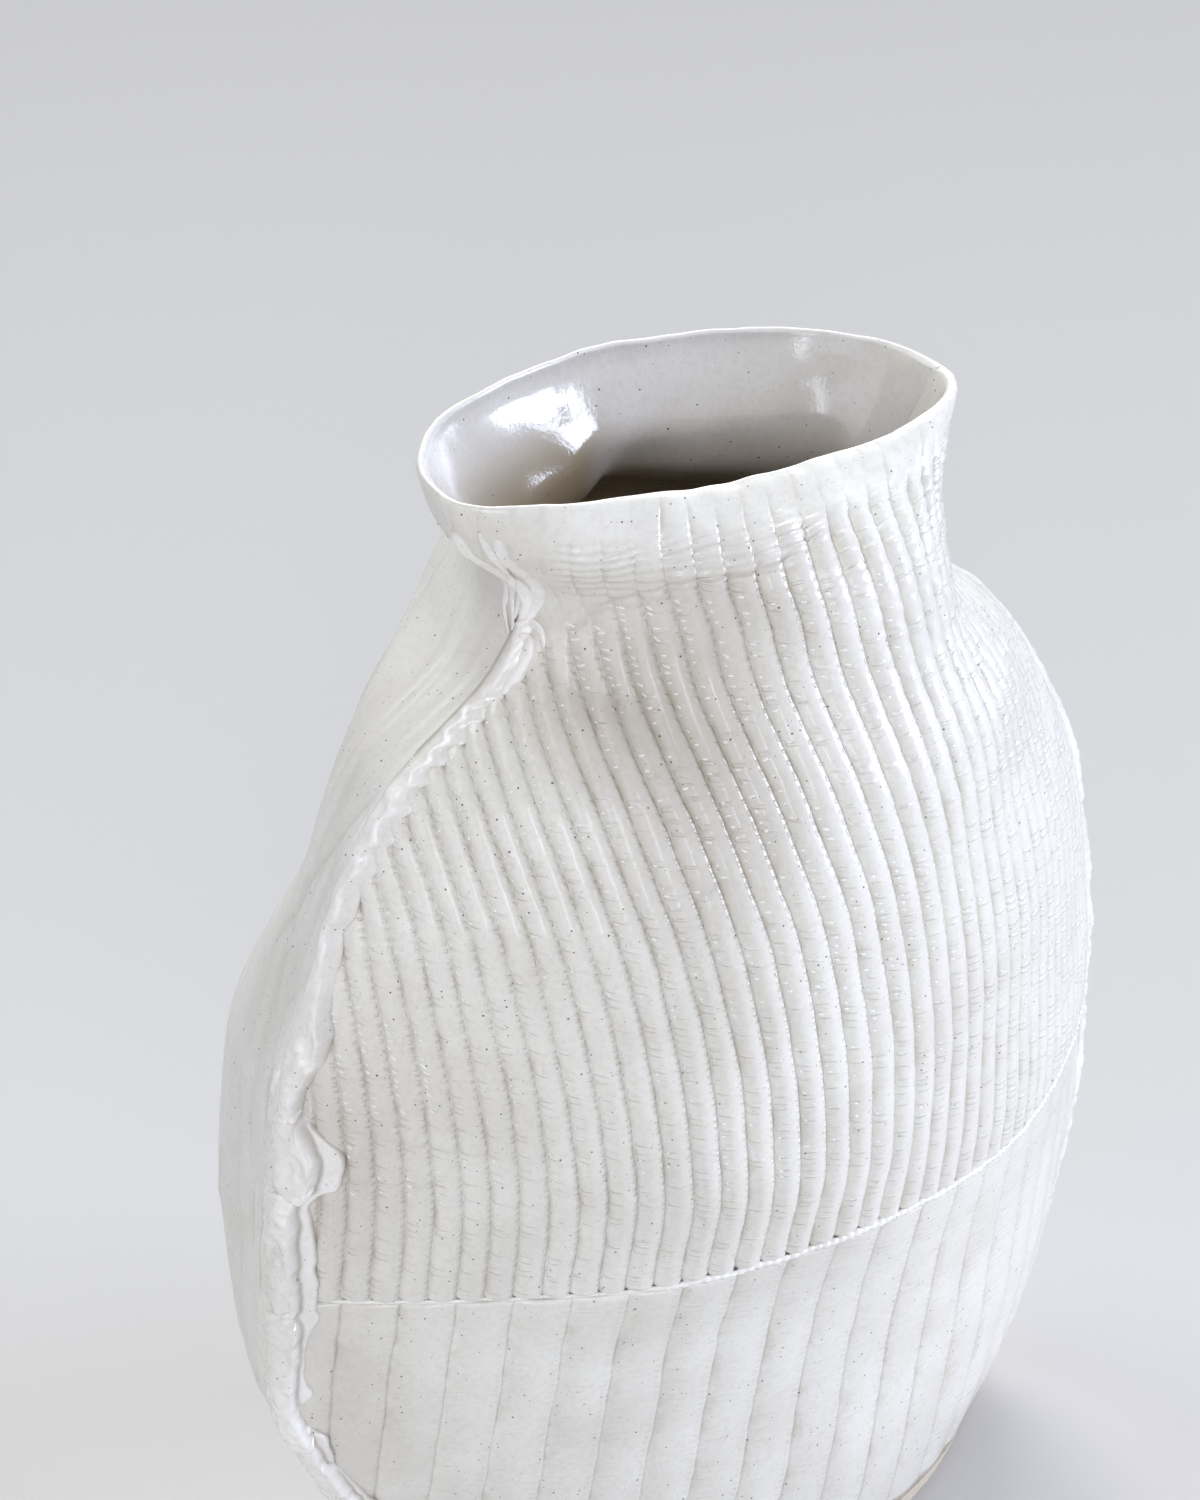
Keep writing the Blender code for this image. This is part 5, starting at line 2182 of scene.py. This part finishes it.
@dataclass(frozen=True)
class Studio:
    """The pale floor, the soft lamps and the camera.

    Lengths are in millimetres where they are the camera's, and otherwise in metres, and angles
    in degrees. aim is the height at which the camera looks and side_shift how far beside the
    middle. The paper is seen as paper, darkening to far_paper between two distances along
    away as painted shade, and lights the jar as lit_paper. fill is the strength of the room's
    own light, and wall_seen that at which the camera sees the room.
    """

    glazes: Glazes
    aim: float = 208.49
    side_shift: float = -22.51
    azimuth: float = -35.0085
    elevation: float = 32.8203
    distance: float = 889.32
    lens: float = 102.36
    sensor: float = 36.0
    floor_side: float = 14.0
    paper: str = "#d3d1d0"
    far_paper: str = "#b4b2b2"
    lit_paper: str = "#d6d4d0"
    wall: str = "#f4f5f6"
    away: tuple[float, float, float] = (0.574, 0.819, 0.0)
    darkens: tuple[float, float] = (0.0, 0.9)
    fill: float = 0.03
    wall_seen: float = 0.6
    lamps_aim: float = 0.15

    def floor(self) -> None:
        """Lays a seamless pale floor.

        The camera and the glaze's reflections see a paler paper than the one that lights the
        jar from below. What they see darkens away from the jar: painted shade, as the window's
        light falls off over the paper.
        """
        bpy.ops.mesh.primitive_plane_add(size=self.floor_side, location=(0, 0, 0))
        floor = bpy.context.object
        floor.name = "studio_floor"
        material = bpy.data.materials.new("pale_paper")
        material.use_nodes = True
        tree = material.node_tree
        shader = tree.nodes["Principled BSDF"]
        add = partial(self.glazes.add, tree)
        near, far, lit = map(self.glazes.linear, (self.paper, self.far_paper, self.lit_paper))
        rays = self.seen_rays(tree)
        place = add("TexCoord", output="Object")
        # Painted shade: the seen paper darkens to far_paper away from the jar.
        reach = add("VectorMath", (place, self.away), 1, operation="DOT_PRODUCT")
        reach = add("MapRange", (reach, *self.darkens))
        seen = add("Mix", {0: reach, 6: near, 7: far}, 2, data_type="RGBA")
        paper = add("Mix", {0: rays, 6: lit, 7: seen}, 2, data_type="RGBA")
        tree.links.new(paper, shader.inputs["Base Color"])
        shader.inputs["Roughness"].default_value = 0.9
        shader.inputs["Specular IOR Level"].default_value = 0.1
        floor.data.materials.append(material)

    def seen_rays(self, tree: bpy.types.NodeTree) -> bpy.types.NodeSocket:
        """Tells the rays that show a surface from those that carry its light.

        Args:
            tree: The nodes of a material or of the world.

        Returns:
            A socket that is 1 for camera, glossy and transmission rays.
        """
        add = partial(self.glazes.add, tree)
        rays = add("LightPath", output="Is Camera Ray")
        path = rays.node
        for name in ("Is Glossy Ray", "Is Transmission Ray"):
            rays = add("Math", (rays, path.outputs[name]), operation="MAXIMUM")
        return rays

    def world(self) -> None:
        """Fills the room with a little even light, and shows it as a pale wall."""
        world = bpy.data.worlds.new("soft_room")
        bpy.context.scene.world = world
        world.use_nodes = True
        tree = world.node_tree
        background = tree.nodes["Background"]
        background.inputs["Color"].default_value = self.glazes.linear(self.wall)
        strengths = (self.seen_rays(tree), 0.0, 1.0, self.fill, self.wall_seen)
        strength = self.glazes.add(tree, "MapRange", strengths)
        tree.links.new(strength, background.inputs["Strength"])

    @staticmethod
    def direction(azimuth: float, elevation: float) -> Vector:
        """The direction from the jar to a place in the room.

        Args:
            azimuth: Degrees from the front, rising towards the right.
            elevation: Degrees over the floor.

        Returns:
            A unit vector.
        """
        turn, rise = math.radians(azimuth), math.radians(elevation)
        level = math.cos(rise)
        return Vector((math.sin(turn) * level, -math.cos(turn) * level, math.sin(rise)))

    def lamps(self) -> None:
        """Hangs the soft lamps round the jar."""
        for lamp in LAMPS:
            away = self.direction(lamp.azimuth, lamp.elevation)
            light = bpy.data.lights.new(lamp.name, "AREA")
            light.shape = "RECTANGLE"
            light.size = lamp.width
            light.size_y = lamp.height
            light.energy = lamp.watts
            light.color = self.glazes.linear(lamp.colour)[:3]
            thing = bpy.data.objects.new(lamp.name, light)
            thing.visible_glossy = lamp.shines
            thing.location = Vector((0, 0, self.lamps_aim)) + away * lamp.distance
            thing.rotation_euler = away.to_track_quat("Z", "Y").to_euler()
            bpy.context.scene.collection.objects.link(thing)

    def camera(self) -> None:
        """Sets the camera at the angle of the photograph."""
        back = self.direction(self.azimuth, self.elevation)
        turn = math.radians(self.azimuth)
        across = Vector((math.cos(turn), math.sin(turn), 0.0))
        aim = (across * self.side_shift + Vector((0.0, 0.0, self.aim))) * MM
        data = bpy.data.cameras.new("photo_angle")
        data.sensor_fit = "VERTICAL"
        data.sensor_height = self.sensor
        data.sensor_width = self.sensor
        data.lens = self.lens
        data.clip_start = 0.01
        data.clip_end = 50.0
        thing = bpy.data.objects.new("photo_angle", data)
        turned = Matrix((across, back.cross(across), back)).transposed().to_4x4()
        thing.matrix_world = Matrix.Translation(aim + back * self.distance * MM) @ turned
        bpy.context.scene.collection.objects.link(thing)
        bpy.context.scene.camera = thing


@dataclass
class Jar:
    """The dressed jar: every piece, what it stands for and its finish."""

    form: JarForm
    glazes: Glazes

    def __post_init__(self) -> None:
        """Makes the materials."""
        self.materials = {
            "front_glaze": self.glazes.glaze(FRONT_GLAZE),
            "back_glaze": self.glazes.glaze(BACK_SHADED_GLAZE),
            "seam_glaze": self.glazes.glaze(SEAM_LIT_GLAZE),
            "highlight_marks": self.glazes.glaze(MARK_HIGHLIGHT_GLAZE),
            "inside_glaze": self.glazes.glaze(INSIDE_SHADED_GLAZE),
            "bare_stoneware": self.glazes.clay(FOOT_CLAY),
        }

    def dress(
        self, piece: bpy.types.Object, slot: str, *nodes: str, finish: str | None = None
    ) -> None:
        """Finishes a piece and ties it to the frame.

        Args:
            piece: The piece.
            slot: The material slot of the record that it takes.
            nodes: The solids that it stands for.
            finish: Its material, where that isn't the slot's own.
        """
        piece.data.materials.append(self.materials[finish or slot])
        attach(piece, "root")
        if nodes:
            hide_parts(*nodes)

    def front_upper(self) -> None:
        """The finely ribbed slab from the belly seam to the lip."""
        lines = RibLines(self.form, FINE_RIBS, 5)
        relief = UpperRelief(FINE_RIBS)
        seam = BELLY_SEAM + SEAM_GAP
        stations = [(LAP_TOP, UPPER_LAP_DEPTH), (seam, UPPER_LAP_DEPTH)]
        stations += reversed(rounded_edge(seam, EDGE_RADIUS, QUARTER_TURN, EDGE_STEPS, -1))
        stations += [(height, 0.0) for height in UPPER_ROWS.heights()]
        stations += rounded_edge(RIM_HEIGHT, LIP_WALL / 2, math.pi, LIP_STEPS)
        stations += inside_rows(RIM_HEIGHT - LIP_WALL, LAP_TOP)
        wall = Wall("front_upper_wall", self.form, Side.FRONT, relief)
        piece = wall.build(stations, partial(front_patch, self.form, lines))
        self.dress(piece, "front_glaze", "front_upper_slab")
        self.dress(BellyBeads("belly_seam_beads", self.form).build(), "seam_glaze")
        marks = StitchMarks("stitch_marks", self.form, lines, relief)
        # The stitch marks take the whiter copy of the glaze: painted highlight.
        self.dress(marks.build(), "seam_glaze", finish="highlight_marks")

    def front_lower(self) -> None:
        """The slab of wide ribs from the foot to the belly seam."""
        lines = RibLines(self.form, WIDE_RIBS, 6)
        seam = BELLY_SEAM - SEAM_GAP
        lap = LAP_TOP - LAP_GAP
        stations = [(height, 0.0) for height in LOWER_ROWS.heights()]
        stations += rounded_edge(seam, EDGE_RADIUS, QUARTER_TURN, EDGE_STEPS)
        stations += [(seam, LOWER_LAP_DEPTH), (lap, LOWER_LAP_DEPTH)]
        stations += inside_rows(lap, WALL_BOTTOM)
        wall = Wall("front_lower_wall", self.form, Side.FRONT, LowerRelief(WIDE_RIBS))
        piece = wall.build(stations, partial(front_patch, self.form, lines))
        self.dress(piece, "front_glaze", "front_lower_slab")

    def back(self) -> None:
        """The tall smooth slab of the back.

        Its columns lie closest together at its ends and in the wrinkled part by the left seam.
        """
        land = np.linspace(0, 0.02, 9)
        wrinkled = np.linspace(0.02, 0.24, 82)
        plain = np.linspace(0.24, 0.98, 130)
        columns = np.concatenate([land, wrinkled[1:], plain[1:-1], 1.0 - land[::-1]])
        stations = [(height, 0.0) for height in BACK_ROWS.heights()]
        stations += rounded_edge(RIM_HEIGHT, LIP_WALL / 2, math.pi, LIP_STEPS)
        stations += inside_rows(RIM_HEIGHT - LIP_WALL, WALL_BOTTOM)
        wall = Wall("back_wall", self.form, Side.BACK, BackRelief())
        piece = wall.build(stations, partial(plain_patch, self.form, Side.BACK, columns=columns))
        self.dress(piece, "back_glaze", "back_slab")

    def rolls(self) -> None:
        """The rolls pinched over both upright seams."""
        lines = RibLines(self.form, FINE_RIBS, 5)
        plans = (
            ("left", "lower", Seam.LEFT, LEFT_LOWER_ROLL, 51, None),
            ("left", "upper", Seam.LEFT, LEFT_UPPER_ROLL, 52, lines),
            ("right", "lower", Seam.RIGHT, RIGHT_LOWER_ROLL, 53, None),
            ("right", "upper", Seam.RIGHT, RIGHT_UPPER_ROLL, 54, None),
        )
        left = []
        for side, part, seam, rows, seed, drawn in plans:
            roll = SeamRoll(f"{side}_{part}_roll", self.form, seam, rows, seed, drawn)
            self.dress(roll.build(), "seam_glaze", f"{side}_seam_roll_{part}")
            if seam is Seam.LEFT:
                left.append(roll)
        self.dress(SeamStrands("left_seam_strands", left).build(), "seam_glaze")

    def carried_over(self) -> None:
        """Finishes the solids that stay as they are."""
        # The coils inside take the darker copy of the glaze: painted shade.
        finishes = {
            "base_slab": "bare_stoneware",
            "base_coil": "inside_glaze",
            "inside_coil_left": "inside_glaze",
            "inside_coil_right": "inside_glaze",
        }
        for name, slot in finishes.items():
            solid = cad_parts[name]
            solid.data.materials.clear()
            solid.data.materials.append(self.materials[slot])


def main() -> None:
    """Dresses the jar and sets the studio round it."""
    logging.basicConfig(level=logging.INFO, format="%(name)s: %(message)s")
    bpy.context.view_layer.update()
    bpy.context.scene.view_settings.view_transform = "Standard"
    glazes = Glazes()
    jar = Jar(JarForm(LEVELS), glazes)
    jar.front_upper()
    jar.front_lower()
    jar.back()
    jar.rolls()
    jar.carried_over()
    studio = Studio(glazes)
    studio.floor()
    studio.world()
    studio.lamps()
    studio.camera()


if __name__ == "__main__":
    main()
